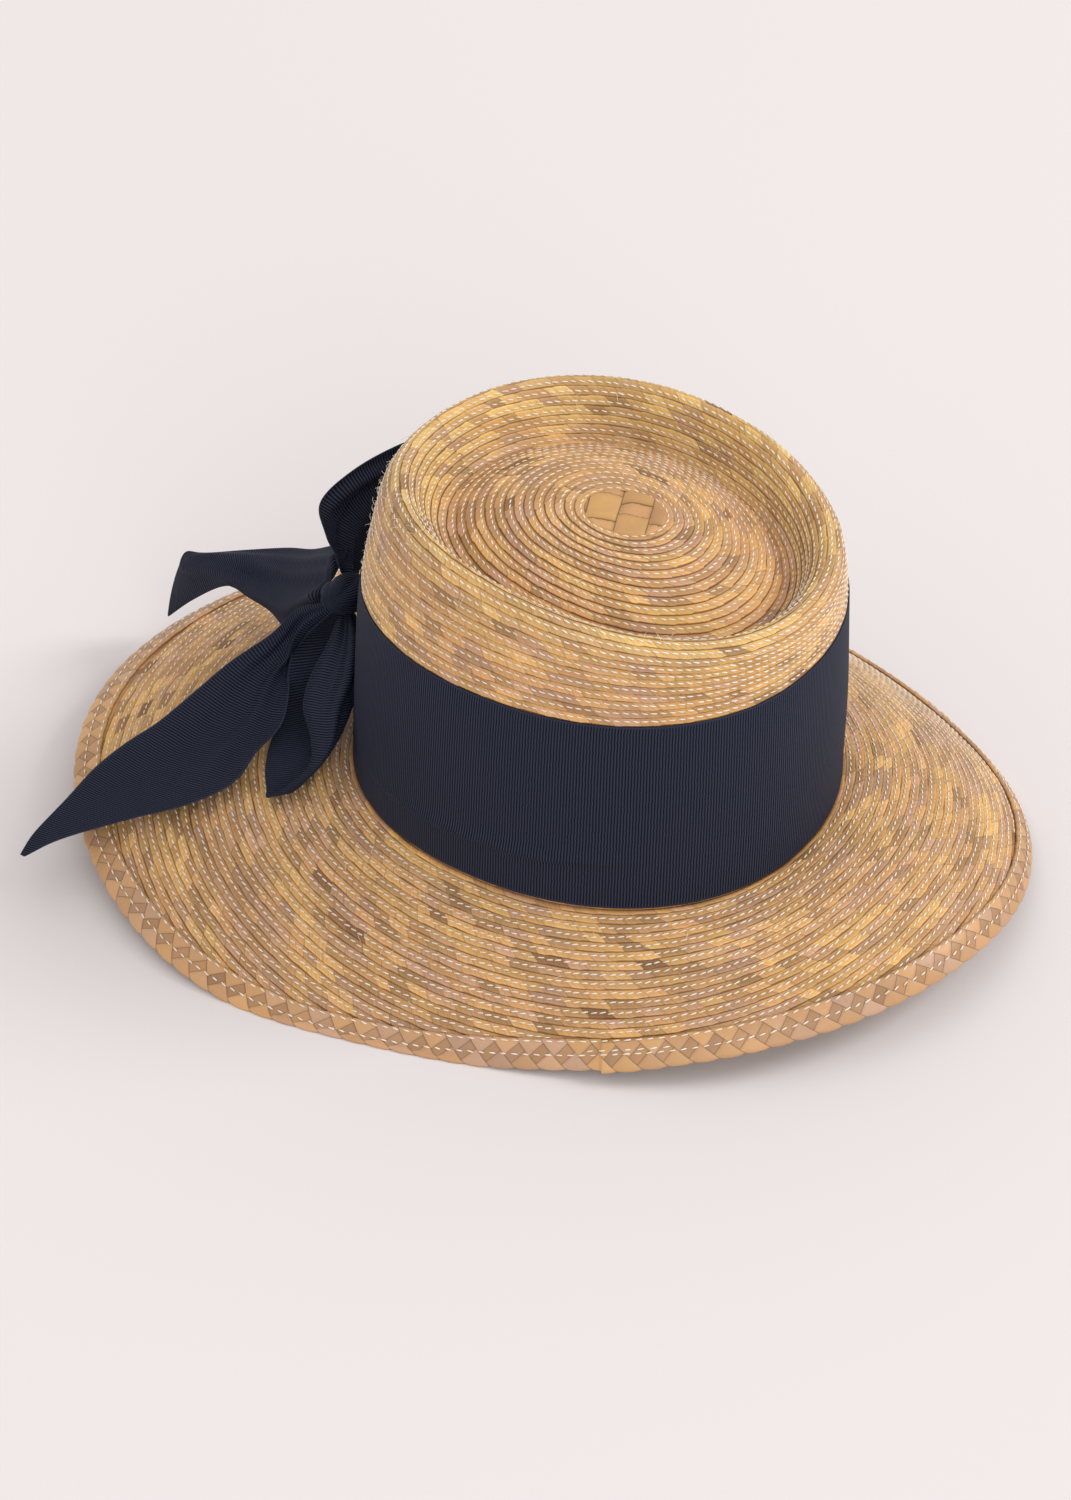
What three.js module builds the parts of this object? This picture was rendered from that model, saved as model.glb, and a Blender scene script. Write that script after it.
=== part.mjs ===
// A wide-brim straw hat of sewn palm braid, with a ribbon band tied in a bow at the back.
// Millimetres, +Z up, resting on its brim on the plane z = 0.
// Headings run round the hat in degrees: 0 is the front (-Y), 90 the -X side, 180 the back.

import * as THREE from 'three';

// Driving dimensions
const strawThickness = 2.0;
const ribbonThickness = 0.8;
const bowThickness = 1.0;
const fitGap = 0.3;
const ovalPower = 2.1; // 2 is an ellipse, a higher power is squarer
const segmentsAround = 64;
const brimSteps = 7;
const slopeSteps = 16; // steps in adding up the brim's changing slope
const edgeBraidWidth = 12.4;
const edgeBraidOverlap = 4.4; // how far the edge braid lies over the last rows of the brim
const bowSteps = 3; // flat steps between two sections of a ribbon
const bowAcross = 4; // flat steps across a ribbon
const floorLevel = 0.8; // the height in the tables below of the floor that the brim is pressed on
const wholeShift = new THREE.Vector3(2.3, -19.1, -floorLevel); // origin under the middle of the whole

// Crown sections from the brim line up over the rim and in to the middle of the top.
// height is the mean height above the floor; frontUp, endsUp and nearUp are how much higher
// the section is at the front, at front and back together, and on the -X side.
const crownSections = table(
  ['height', 'halfLength', 'halfWidth', 'back', 'right', 'frontUp', 'endsUp', 'nearUp'],
  [
    [41.0, 96.0, 87.4, 0.0, 0.0, 2.7, -2.6, -3.0],
    [84.0, 95.0, 86.2, -1.0, 0.0, 2.7, -2.6, -3.0],
    [127.0, 92.6, 83.4, -2.0, 0.0, 2.4, -2.4, -2.8],
    [146.0, 90.0, 79.6, -4.0, 0.0, -2.5, -3.0, -1.0],
    [157.0, 87.6, 76.0, -5.5, 0.0, -7.0, -3.3, 0.0],
    [162.6, 82.0, 70.2, -6.0, 0.0, -8.0, -3.4, 0.0],
    [158.0, 76.6, 64.8, -6.0, 0.0, -8.0, -3.2, 0.0],
    [149.0, 72.4, 60.6, -6.5, 1.0, -7.0, -2.6, 0.0],
    [143.5, 66.5, 55.5, -7.0, 2.0, -6.0, -2.0, 0.0],
    [148.0, 56.0, 46.0, -7.5, 3.0, -5.0, -1.5, 0.0],
    [155.0, 35.0, 28.0, -8.0, 4.0, -2.0, -0.5, 0.0],
    [157.0, 15.4, 12.6, -8.0, 4.5, 0.0, 0.0, 0.0],
  ],
);
const bandTopSection = 2; // the band ends at this crown section
const bandBottomPlace = 0.03; // and starts just above the first one
const grooveEndSection = 9; // from the band's top to here the crown gets finer steps

// Brim sections evenly round the hat from the front: its width along the straw, and its slope down
// in degrees where it leaves the crown and at its edge.
const brimSections = table(['width', 'crownSlope', 'edgeSlope'], [
  [78, -8, 39],
  [64, 9, 36],
  [62, 29, 43],
  [77, 29, 38],
  [100, 14, 23],
  [115, 0, 14],
  [114, -3, 22],
  [102, 0, 34],
  [91, 10, 40],
  [86, 20, 46],
  [88, 17, 50],
  [88, -1, 50],
]);

// The edge braid across its width: how far in from the edge, and how high its underside stands
// above the line of the brim's top face.
const edgeBraidSections = [
  { inFromEdge: edgeBraidWidth, lift: fitGap },
  { inFromEdge: 7.2, lift: fitGap },
  { inFromEdge: 5.6, lift: -0.6 },
  { inFromEdge: 2.4, lift: -1.4 },
  { inFromEdge: 0, lift: -strawThickness },
];
const edgeBraidPressed = 1.6; // its least thickness where it is pressed on the floor

// The knot is seated on the band at a heading in degrees and a place in the crown's sections.
const knot = { heading: 165.8, place: 1.2, halfSize: new THREE.Vector3(9, 10.6, 9) };
const knotCentre = seatOnBand(knot);

// Bow ribbons, one row for each section across the ribbon: its near edge, its middle and its far edge.
// Ends that go into the knot start on its surface, in the given directions from its middle.
const frontTailSections = [
  { near: onKnot(-0.7, 0.2, -0.68), middle: onKnot(-0.68, 0.42, -0.6), far: onKnot(-0.64, 0.62, -0.45) },
  { near: [-42, 119, 58], middle: [-43, 121, 61], far: [-46, 125, 67] },
  { near: [-51, 112, 52], middle: [-54, 125, 52], far: [-56, 138, 58] },
  { near: [-64, 106, 46], middle: [-68, 125, 44], far: [-70, 145, 49] },
  { near: [-79, 107, 41], middle: [-84, 128, 39], far: [-87, 150, 42] },
  { near: [-95, 105, 38], middle: [-99, 130, 35], far: [-101, 156, 37] },
  { near: [-112, 114, 34], middle: [-114, 137, 31], far: [-115, 160, 32] },
  { near: [-128, 131, 29], middle: [-130, 145, 28], far: [-132, 160, 28] },
  { near: [-149, 148, 25], middle: [-150, 154, 24], far: [-151, 160, 24] },
  { near: [-162, 156, 21], middle: [-162, 157, 21], far: [-162, 158, 21] },
];
const backTailSections = [
  { near: onKnot(-0.25, 0.86, -0.44), middle: onKnot(-0.05, 1, -0.1), far: onKnot(0.22, 0.93, 0.28) },
  { near: [-26, 126, 72], middle: [-17, 130, 80], far: [-8, 132, 84] },
  { near: [-24, 137, 60], middle: [-11, 146, 70], far: [-2, 150, 76] },
  { near: [-22, 148, 55], middle: [-7, 160, 62], far: [3, 170, 66] },
  { near: [-18, 166, 53], middle: [-4, 176, 57], far: [5, 187, 57] },
  { near: [-22, 182, 45], middle: [-8, 186, 51], far: [3, 194, 52] },
  { near: [-28, 196, 36], middle: [-14, 197, 43], far: [0, 202, 48] },
];
const farLoopSections = [
  { near: onKnot(0.85, 0.3, -0.42), middle: onKnot(0.87, 0.48, 0.06), far: onKnot(0.72, 0.48, 0.5) },
  { near: [-6, 110, 86], middle: [-11, 115, 94], far: [-17, 117, 105] },
  { near: [4, 112, 88], middle: [-3, 119, 101], far: [-14, 123, 117] },
  { near: [14, 111, 88], middle: [8, 118, 106], far: [2, 119, 125] },
  { near: [30, 108, 88], middle: [27, 113, 107], far: [22, 113, 128] },
  { near: [46, 103, 88], middle: [46, 106, 106], far: [42, 106, 127] },
  { near: [57, 95, 89], middle: [58, 96, 106], far: [55, 96, 125] },
  { near: [54, 87.5, 90], middle: [55, 87, 106], far: [52, 87.5, 123] },
  { near: [38, 92, 89], middle: [38, 91.8, 105], far: [37, 91.4, 120] },
  { near: [16, 96, 88], middle: [16, 96, 98], far: [15, 96, 108] },
  { near: onKnot(0.95, -0.3, -0.3), middle: onKnot(1, -0.3, 0.1), far: onKnot(0.87, -0.3, 0.4) },
];
const nearLoopSections = [
  { near: onKnot(-0.38, -0.38, -0.85), middle: onKnot(-0.45, -0.05, -0.9), far: onKnot(-0.45, 0.25, -0.86) },
  { near: [-31, 95, 70], middle: [-34, 103, 68], far: [-34, 109, 67] },
  { near: [-42, 88, 62], middle: [-49, 100, 59], far: [-44, 109, 55] },
  { near: [-54, 84, 53], middle: [-60, 95, 52], far: [-57, 104, 49] },
  { near: [-66, 82, 46], middle: [-71, 91, 47], far: [-71, 99, 45] },
  { near: [-77, 82, 41.5], middle: [-82, 89, 42.5], far: [-84, 97, 42] },
  { near: [-84, 86, 37.8], middle: [-89, 91, 37.6], far: [-90, 97, 38] },
  { near: [-78, 88, 38.6], middle: [-84, 94, 37.8], far: [-86, 100, 37.6] },
  { near: [-62, 92, 42], middle: [-66, 97, 41], far: [-69, 101, 41] },
  { near: [-46, 98, 50], middle: [-49, 101, 49], far: [-52, 104, 49] },
  { near: [-33, 101, 66], middle: [-35, 103.4, 65], far: [-37, 106, 65] },
  { near: onKnot(0.02, -0.3, -0.95), middle: onKnot(0, 0, -1), far: onKnot(-0.05, 0.25, -0.97) },
];

const straw = new THREE.MeshStandardMaterial({ color: 0xc09a66, roughness: 0.75, metalness: 0 });
const edgeStraw = new THREE.MeshStandardMaterial({ color: 0xb68a58, roughness: 0.7, metalness: 0 });
const ribbon = new THREE.MeshStandardMaterial({ color: 0x151c2b, roughness: 0.6, metalness: 0 });

// Turns rows of numbers into rows with named columns.
function table(columns, rows) {
  return rows.map((row) => Object.fromEntries(columns.map((column, i) => [column, row[i]])));
}

// The middle of a rounded pad that stands on the outside of the band.
function seatOnBand(pad) {
  const heading = THREE.MathUtils.degToRad(pad.heading);
  const outward = surfaceNormal(crownPoint, heading, pad.place).negate();
  const reach = outward.clone().multiply(pad.halfSize).length();
  return crownPoint(heading, pad.place)
    .addScaledVector(outward, fitGap + ribbonThickness + fitGap + reach);
}

// A point just clear of the knot's surface, in a direction from its middle.
function onKnot(x, y, z) {
  const direction = new THREE.Vector3(x, y, z).normalize();
  const outward = direction.clone().divide(knot.halfSize).normalize();
  return knotCentre.clone()
    .add(direction.multiply(knot.halfSize))
    .addScaledVector(outward, fitGap)
    .toArray();
}

// A point on the squared oval of the given half sizes.
function ovalPoint(heading, halfLength, halfWidth) {
  const c = Math.cos(heading);
  const s = Math.sin(heading);
  const power = Math.abs(c) ** ovalPower + Math.abs(s) ** ovalPower;
  const r = power ** (-1 / ovalPower);
  return new THREE.Vector3(-halfWidth * r * s, -halfLength * r * c, 0);
}

// The level direction that stands square to the oval, pointing out.
function ovalOutward(heading, halfLength, halfWidth) {
  const step = 1e-4;
  const ahead = ovalPoint(heading + step, halfLength, halfWidth);
  const along = ahead.sub(ovalPoint(heading - step, halfLength, halfWidth));
  return new THREE.Vector3(along.y, -along.x, 0).normalize().negate();
}

function heightAround(section, heading) {
  return (
    section.height +
    section.frontUp * Math.cos(heading) +
    section.endsUp * Math.cos(2 * heading) +
    section.nearUp * Math.sin(heading)
  );
}

// A smooth curve through four neighbouring values, used between the middle two.
function smoothBetween(a, b, c, d, t) {
  const linear = c - a;
  const square = 2 * a - 5 * b + 4 * c - d;
  const cube = 3 * b - a - 3 * c + d;
  return 0.5 * (2 * b + linear * t + square * t * t + cube * t * t * t);
}

// Reads a column of a table that runs on past its ends in a straight line.
function readOpen(rows, column, place) {
  const last = rows.length - 1;
  const i = Math.min(Math.floor(place), last - 1);
  const at = (k) => {
    if (k < 0) return 2 * column(rows[0]) - column(rows[1]);
    if (k > last) return 2 * column(rows[last]) - column(rows[last - 1]);
    return column(rows[k]);
  };
  return smoothBetween(at(i - 1), at(i), at(i + 1), at(i + 2), place - i);
}

// Reads a column of a table that closes on itself round the hat.
function readAround(rows, column, heading) {
  const count = rows.length;
  const place = (((heading / (2 * Math.PI)) % 1) + 1) % 1 * count;
  const i = Math.floor(place) % count;
  const at = (k) => rows[(k + count) % count][column];
  return smoothBetween(at(i - 1), at(i), at(i + 1), at(i + 2), place - Math.floor(place));
}

function crownPoint(heading, place) {
  const section = {};
  for (const name of Object.keys(crownSections[0])) {
    section[name] = readOpen(crownSections, (row) => row[name], place);
  }
  const point = ovalPoint(heading, section.halfLength, section.halfWidth);
  point.x += section.right;
  point.y += section.back;
  point.z = heightAround(section, heading);
  return point;
}

// A point on the top face of the brim, a distance out along the straw from the crown.
function brimPoint(heading, distance) {
  const line = crownSections[0];
  const width = readAround(brimSections, 'width', heading);
  const crownSlope = readAround(brimSections, 'crownSlope', heading);
  const edgeSlope = readAround(brimSections, 'edgeSlope', heading);
  let out = 0;
  let down = 0;
  for (let i = 0; i < slopeSteps; i += 1) {
    const part = ((i + 0.5) / slopeSteps) * (distance / width);
    const slope = THREE.MathUtils.degToRad(crownSlope + (edgeSlope - crownSlope) * part);
    out += (Math.cos(slope) * distance) / slopeSteps;
    down += (Math.sin(slope) * distance) / slopeSteps;
  }
  const point = ovalPoint(heading, line.halfLength, line.halfWidth);
  point.addScaledVector(ovalOutward(heading, line.halfLength, line.halfWidth), out);
  point.z = heightAround(line, heading) - down;
  return point;
}

// The direction square to a surface that is given by two numbers.
function surfaceNormal(surface, u, v) {
  const step = 1e-3;
  const alongU = surface(u + step, v).sub(surface(u - step, v));
  const alongV = surface(u, v + step).sub(surface(u, v - step));
  return alongU.cross(alongV).normalize();
}

function geometryFrom(points, triangles) {
  const geometry = new THREE.BufferGeometry();
  const numbers = points.flatMap((point) => point.toArray());
  geometry.setAttribute('position', new THREE.Float32BufferAttribute(numbers, 3));
  geometry.setIndex(triangles);
  geometry.computeVertexNormals();
  return geometry;
}

// Joins a closed cross-section, one ring of points for each step round the hat, into a ring body.
function ringBody(sections) {
  const count = sections.length;
  const size = sections[0].length;
  const triangles = [];
  for (let i = 0; i < count; i += 1) {
    for (let j = 0; j < size; j += 1) {
      const a = i * size + j;
      const b = i * size + ((j + 1) % size);
      const c = ((i + 1) % count) * size + j;
      const d = ((i + 1) % count) * size + ((j + 1) % size);
      triangles.push(a, b, d, a, d, c);
    }
  }
  return geometryFrom(sections.flat(), triangles);
}

// The crown's wall and top: an outer and an inner skin, joined at the bottom and closed in the middle.
function crownShell() {
  const places = [];
  for (let section = 0; section < crownSections.length; section += 1) {
    places.push(section);
    if (section >= bandTopSection && section < grooveEndSection) places.push(section + 0.5);
  }
  const lastRow = places.length - 1;
  const outer = [];
  const inner = [];
  places.forEach((place, row) => {
    const outerRing = [];
    const innerRing = [];
    for (let i = 0; i < segmentsAround; i += 1) {
      const heading = (i / segmentsAround) * 2 * Math.PI;
      const point = crownPoint(heading, place);
      const inward = surfaceNormal(crownPoint, heading, place);
      if (row === lastRow) inward.set(0, 0, -1);
      if (row === 0) {
        inward.z = 0;
        inward.normalize();
        point.z -= strawThickness;
      }
      outerRing.push(point);
      innerRing.push(point.clone().addScaledVector(inward, strawThickness));
    }
    outer.push(outerRing);
    inner.push(innerRing);
  });
  const points = [...outer.flat(), ...inner.flat()];
  const innerStart = outer.length * segmentsAround;
  const triangles = [];
  const skin = (start, flip) => {
    for (let row = 0; row < lastRow; row += 1) {
      for (let i = 0; i < segmentsAround; i += 1) {
        const next = (i + 1) % segmentsAround;
        const a = start + row * segmentsAround + i;
        const b = start + row * segmentsAround + next;
        const c = a + segmentsAround;
        const d = b + segmentsAround;
        if (flip) triangles.push(a, b, d, a, d, c);
        else triangles.push(a, d, b, a, c, d);
      }
    }
  };
  skin(0, false);
  skin(innerStart, true);
  for (const [start, flip] of [[0, false], [innerStart, true]]) {
    const ringStart = start + lastRow * segmentsAround;
    const centre = new THREE.Vector3();
    for (let i = 0; i < segmentsAround; i += 1) centre.add(points[ringStart + i]);
    points.push(centre.divideScalar(segmentsAround));
    const middle = points.length - 1;
    for (let i = 0; i < segmentsAround; i += 1) {
      const a = ringStart + i;
      const b = ringStart + ((i + 1) % segmentsAround);
      if (flip) triangles.push(a, b, middle);
      else triangles.push(b, a, middle);
    }
  }
  for (let i = 0; i < segmentsAround; i += 1) {
    const next = (i + 1) % segmentsAround;
    triangles.push(i, next, innerStart + next, i, innerStart + next, innerStart + i);
  }
  return geometryFrom(points, triangles);
}

// The ribbon round the crown, standing just clear of the straw.
function ribbonBand() {
  const rows = [bandBottomPlace, 1, 1.5, bandTopSection - 0.01];
  const sections = [];
  for (let i = 0; i < segmentsAround; i += 1) {
    const heading = (i / segmentsAround) * 2 * Math.PI;
    const skin = (clearance) => rows.map((place) => {
      const outward = surfaceNormal(crownPoint, heading, place).negate();
      return crownPoint(heading, place).addScaledVector(outward, clearance);
    });
    const outside = skin(fitGap + ribbonThickness);
    const inside = skin(fitGap).reverse();
    sections.push([...inside, ...outside]);
  }
  return ringBody(sections);
}

// The brim from under the crown wall out to where the edge braid covers it.
function brimShell() {
  const sections = [];
  for (let i = 0; i < segmentsAround; i += 1) {
    const heading = (i / segmentsAround) * 2 * Math.PI;
    const width = readAround(brimSections, 'width', heading);
    const start = fitGap;
    const end = width - edgeBraidWidth + edgeBraidOverlap;
    const top = [];
    const bottom = [];
    for (let row = 0; row <= brimSteps; row += 1) {
      const distance = start + ((end - start) * row) / brimSteps;
      const point = brimPoint(heading, distance);
      top.push(point);
      const up = surfaceNormal(brimPoint, heading, distance);
      if (row === 0) up.set(0, 0, 1); // the inner end stands upright beside the crown wall
      bottom.push(point.clone().addScaledVector(up, -strawThickness));
    }
    sections.push([...bottom, ...top.reverse()]);
  }
  return ringBody(sections);
}

// The wide braid sewn over the brim's last rows. It is pressed flat where it rests on the floor.
function edgeBraid() {
  const sections = [];
  for (let i = 0; i < segmentsAround; i += 1) {
    const heading = (i / segmentsAround) * 2 * Math.PI;
    const width = readAround(brimSections, 'width', heading);
    const face = (thickness, lowest) => edgeBraidSections.map((section) => {
      const distance = width - section.inFromEdge;
      const up = surfaceNormal(brimPoint, heading, distance);
      const point = brimPoint(heading, distance).addScaledVector(up, section.lift + thickness);
      point.z = Math.max(point.z, lowest);
      return point;
    });
    const bottom = face(0, floorLevel);
    const top = face(strawThickness, floorLevel + edgeBraidPressed);
    sections.push([...bottom, ...top.reverse()]);
  }
  return ringBody(sections);
}

// A ribbon as a thin closed body through its sections.
function ribbonBody(rows, thickness) {
  const steps = (rows.length - 1) * bowSteps;
  const edgePoint = (edge, place) => {
    const read = (axis) => readOpen(rows, (row) => row[edge][axis], place);
    return new THREE.Vector3(read(0), read(1), read(2));
  };
  // Across the ribbon a parabola runs through near edge, middle and far edge.
  const face = (place, across) => {
    const near = edgePoint('near', place);
    const middle = edgePoint('middle', place);
    const far = edgePoint('far', place);
    return near.multiplyScalar((1 - across) * (1 - 2 * across))
      .addScaledVector(middle, 4 * across * (1 - across))
      .addScaledVector(far, across * (2 * across - 1));
  };
  const upper = [];
  const lower = [];
  for (let i = 0; i <= steps; i += 1) {
    for (let j = 0; j <= bowAcross; j += 1) {
      const place = i / bowSteps;
      const across = j / bowAcross;
      const point = face(place, across);
      const outward = surfaceNormal(face, place, across);
      upper.push(point.clone().addScaledVector(outward, thickness / 2));
      lower.push(point.clone().addScaledVector(outward, -thickness / 2));
    }
  }
  const size = bowAcross + 1;
  const lowerStart = upper.length;
  const triangles = [];
  for (let i = 0; i < steps; i += 1) {
    for (let j = 0; j < bowAcross; j += 1) {
      const a = i * size + j;
      const b = a + 1;
      const c = a + size;
      const d = c + 1;
      triangles.push(a, c, d, a, d, b);
      triangles.push(lowerStart + a, lowerStart + d, lowerStart + c);
      triangles.push(lowerStart + a, lowerStart + b, lowerStart + d);
    }
  }
  const rim = [];
  for (let i = 0; i < steps; i += 1) rim.push(i * size);
  for (let j = 0; j < bowAcross; j += 1) rim.push(steps * size + j);
  for (let i = steps; i > 0; i -= 1) rim.push(i * size + bowAcross);
  for (let j = bowAcross; j > 0; j -= 1) rim.push(j);
  rim.forEach((a, k) => {
    const b = rim[(k + 1) % rim.length];
    triangles.push(a, lowerStart + a, lowerStart + b, a, lowerStart + b, b);
  });
  return geometryFrom([...upper, ...lower], triangles);
}

// The knot that gathers the bow: a rounded pad against the band.
function knotBody() {
  const geometry = new THREE.SphereGeometry(1, 16, 10);
  geometry.scale(...knot.halfSize.toArray());
  geometry.translate(...knotCentre.toArray());
  return geometry;
}

function piece(name, geometry, material) {
  geometry.translate(...wholeShift.toArray());
  const mesh = new THREE.Mesh(geometry, material);
  mesh.name = name;
  return mesh;
}

const hat = new THREE.Group();
hat.add(piece('crown', crownShell(), straw));
hat.add(piece('brim', brimShell(), straw));
hat.add(piece('edge_braid', edgeBraid(), edgeStraw));
hat.add(piece('ribbon_band', ribbonBand(), ribbon));
hat.add(piece('bow_knot', knotBody(), ribbon));
hat.add(piece('bow_loop_far', ribbonBody(farLoopSections, bowThickness), ribbon));
hat.add(piece('bow_loop_near', ribbonBody(nearLoopSections, bowThickness), ribbon));
hat.add(piece('bow_tail_front', ribbonBody(frontTailSections, bowThickness), ribbon));
hat.add(piece('bow_tail_back', ribbonBody(backTailSections, bowThickness), ribbon));

export default hat;
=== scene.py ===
"""Finishes the wide-brim straw hat: sewn braid rows, stitches, edge braid, ribbon band and bow."""

import math

import bmesh
import bpy
import numpy as np
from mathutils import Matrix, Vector


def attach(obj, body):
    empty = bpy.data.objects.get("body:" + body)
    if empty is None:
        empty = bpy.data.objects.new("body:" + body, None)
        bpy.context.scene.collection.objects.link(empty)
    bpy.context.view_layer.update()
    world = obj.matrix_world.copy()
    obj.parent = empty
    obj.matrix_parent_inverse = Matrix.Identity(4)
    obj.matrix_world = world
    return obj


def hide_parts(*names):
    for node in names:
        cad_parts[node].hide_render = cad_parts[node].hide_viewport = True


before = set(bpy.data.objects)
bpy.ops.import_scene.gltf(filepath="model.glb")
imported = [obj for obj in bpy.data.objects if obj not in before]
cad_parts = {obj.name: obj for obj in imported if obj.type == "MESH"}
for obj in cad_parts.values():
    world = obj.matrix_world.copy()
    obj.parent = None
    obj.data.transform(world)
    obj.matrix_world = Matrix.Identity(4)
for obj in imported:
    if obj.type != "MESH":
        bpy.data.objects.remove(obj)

bl_info = {
    "name": "Sewn Palm Braid Hat",
    "version": (1, 0, 0),
    "blender": (4, 5, 0),
    "location": "View3D > Sidebar > Hat",
    "description": "Builds a wide-brim hat of sewn palm braid with a ribbon band and a bow",
    "category": "Add Mesh",
}

MM = 0.001

# Sizes in millimetres in the tables' own frame, and the way from there to the shared frame.
TABLE_SHIFT = np.array([2.3, -19.1, -0.8])
FLOOR_LEVEL = 0.8
STRAW_THICKNESS = 2.0
FIT_GAP = 0.3
EDGE_WIDTH = 11.4
EDGE_OVERLAP = 3.4
LAP_LIFT = 1.1
HIDDEN_LIFT = 0.12
BAND_WIDTH = 86.0
BUTTON_STRAND = 17.0
STITCH_LIFT = 0.42
TOOTH_LENGTH = 13.0

# Places in the crown's sections, counted from the brim line.
BAND_BOTTOM, BAND_TOP = 0.03, 1.99
HIDDEN_BELOW = BAND_TOP - 0.04
YELLOW_PLACE = 5.9
BUTTON_PLACE = 11

# Degrees round the hat over which the edge braid laps, and over which the lap rises.
LAP_LENGTH, LAP_RISE = 12, 10

# The oval's power, the heading of the edge braid's joint in degrees, the part of a strand's double step
# that lies over the next strand, a row number that no row has, and counts.
OVAL_POWER = 2.1
EDGE_JOINT = 54.5
OVER_SHARE = 1.4
NO_ROW = -99.0
SLOPE_STEPS = 16
BAND_POINTS = 81

# Crown sections from the brim line over the rim to the middle of the top.
CROWN_COLUMNS = ("height", "half_length", "half_width", "back", "right", "front_up", "ends_up", "near_up")
CROWN_SECTIONS = np.array([
    (41.0, 96.0, 87.4, 0.0, 0.0, 2.7, -2.6, -3.0),
    (84.0, 95.0, 86.2, -1.0, 0.0, 2.7, -2.6, -3.0),
    (127.0, 92.6, 83.4, -2.0, 0.0, 2.4, -2.4, -2.8),
    (146.0, 90.0, 79.6, -4.0, 0.0, -2.5, -3.0, -1.0),
    (157.0, 87.6, 76.0, -5.5, 0.0, -7.0, -3.3, 0.0),
    (162.6, 82.0, 70.2, -6.0, 0.0, -8.0, -3.4, 0.0),
    (158.0, 76.6, 64.8, -6.0, 0.0, -8.0, -3.2, 0.0),
    (149.0, 72.4, 60.6, -6.5, 1.0, -7.0, -2.6, 0.0),
    (143.5, 66.5, 55.5, -7.0, 2.0, -6.0, -2.0, 0.0),
    (148.0, 56.0, 46.0, -7.5, 3.0, -5.0, -1.5, 0.0),
    (155.0, 35.0, 28.0, -8.0, 4.0, -2.0, -0.5, 0.0),
    (157.0, 15.4, 12.6, -8.0, 4.5, 0.0, 0.0, 0.0),
])

# Brim sections every 30 degrees from the front round the near side: the width along the straw in
# millimetres, and the downward slope at the crown and at the edge in degrees.
BRIM_SECTIONS = np.array([
    (78, -8, 39),
    (64, 9, 36),
    (62, 29, 43),
    (77, 29, 38),
    (100, 14, 23),
    (115, 0, 14),
    (114, -3, 22),
    (102, 0, 34),
    (91, 10, 40),
    (86, 20, 46),
    (88, 17, 50),
    (88, -1, 50),
], dtype=float)

# How far the teeth of a braid row's outer edge reach, from the edge out and from there back in.
TOOTH_OUT, BRIM_TOOTH_IN, CROWN_TOOTH_IN = 0.16, 0.42, 0.4
# How much the height of a row swells and sinks along it, as a share of its height.
BRIM_SWELL, CROWN_SWELL = 0.35, 0.3
# Heights of the brim's top and underside where its rows end under the edge braid.
BRIM_END_TOP, BRIM_END_UNDER = 0.05, -1.3
# How far the undersides of the brim and the crown lie below the hat's form, before the relief on them.
BRIM_UNDER, CROWN_UNDER = 1.5, 1.9

# One braid row across: share of the row's width, and height over the hat's form.
ROW_PROFILE = ((0.0, 0.08), (0.3, 0.2), (0.66, 0.33), (0.91, 0.46), (0.975, 0.34))
ROW_PROFILE_UNDER = ((0.0, 0.3), (0.75, 0.0))
FIRST_BRIM_ROW = 2.6

# The edge braid across, from its inner edge round the outer edge and back underneath: the distance in
# from the edge, the lift over the brim's form, and the share of the weave's relief.
EDGE_PROFILE = np.array([
    (11.4, 0.75, 0.0), (11.35, 1.3, 0.0), (11.1, 1.7, 0.3), (10.5, 1.85, 0.8), (9.7, 1.85, 1.0),
    (8.9, 1.85, 1.0), (8.1, 1.8, 1.0), (7.2, 1.7, 1.0), (6.2, 1.45, 1.0), (5.2, 1.2, 1.0),
    (4.2, 0.95, 1.0), (3.2, 0.72, 1.0), (2.2, 0.45, 1.0), (1.3, 0.2, 0.9), (0.6, -0.05, 0.6),
    (0.15, -0.4, 0.3), (0.0, -0.8, 0.1), (0.15, -1.1, 0.2), (0.7, -1.3, 0.5), (1.8, -1.3, 0.8),
    (3.2, -1.1, 0.9), (4.6, -0.8, 0.9), (6.0, -0.4, 0.8), (7.4, 0.1, 0.5), (8.4, 0.6, 0.0),
    (9.8, 0.7, 0.0), (11.4, 0.75, 0.0),
])


def smooth_between(a, b, c, d, t):
    """A smooth curve through four neighbouring values, used between the middle two."""
    return 0.5 * (2 * b + (c - a) * t + (2 * a - 5 * b + 4 * c - d) * t**2 + (3 * b - a - 3 * c + d) * t**3)


def read_open(rows, place):
    """Reads rows that run on past their ends in a straight line."""
    rows = np.asarray(rows, float)
    longer = np.concatenate([2 * rows[:1] - rows[1:2], rows, 2 * rows[-1:] - rows[-2:-1]])
    place = np.asarray(place, float)
    i = np.clip(np.floor(place).astype(int), 0, len(rows) - 2)
    t = (place - i).reshape(place.shape + (1,) * (rows.ndim - 1))
    return smooth_between(longer[i], longer[i + 1], longer[i + 2], longer[i + 3], t)


def read_around(column, heading):
    """Reads a column that closes on itself round the hat."""
    count = len(column)
    place = (heading / (2 * math.pi)) % 1.0 * count
    i = np.floor(place).astype(int)
    at = [column[(i + k) % count] for k in (-1, 0, 1, 2)]
    return smooth_between(*at, place - i)


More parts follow.
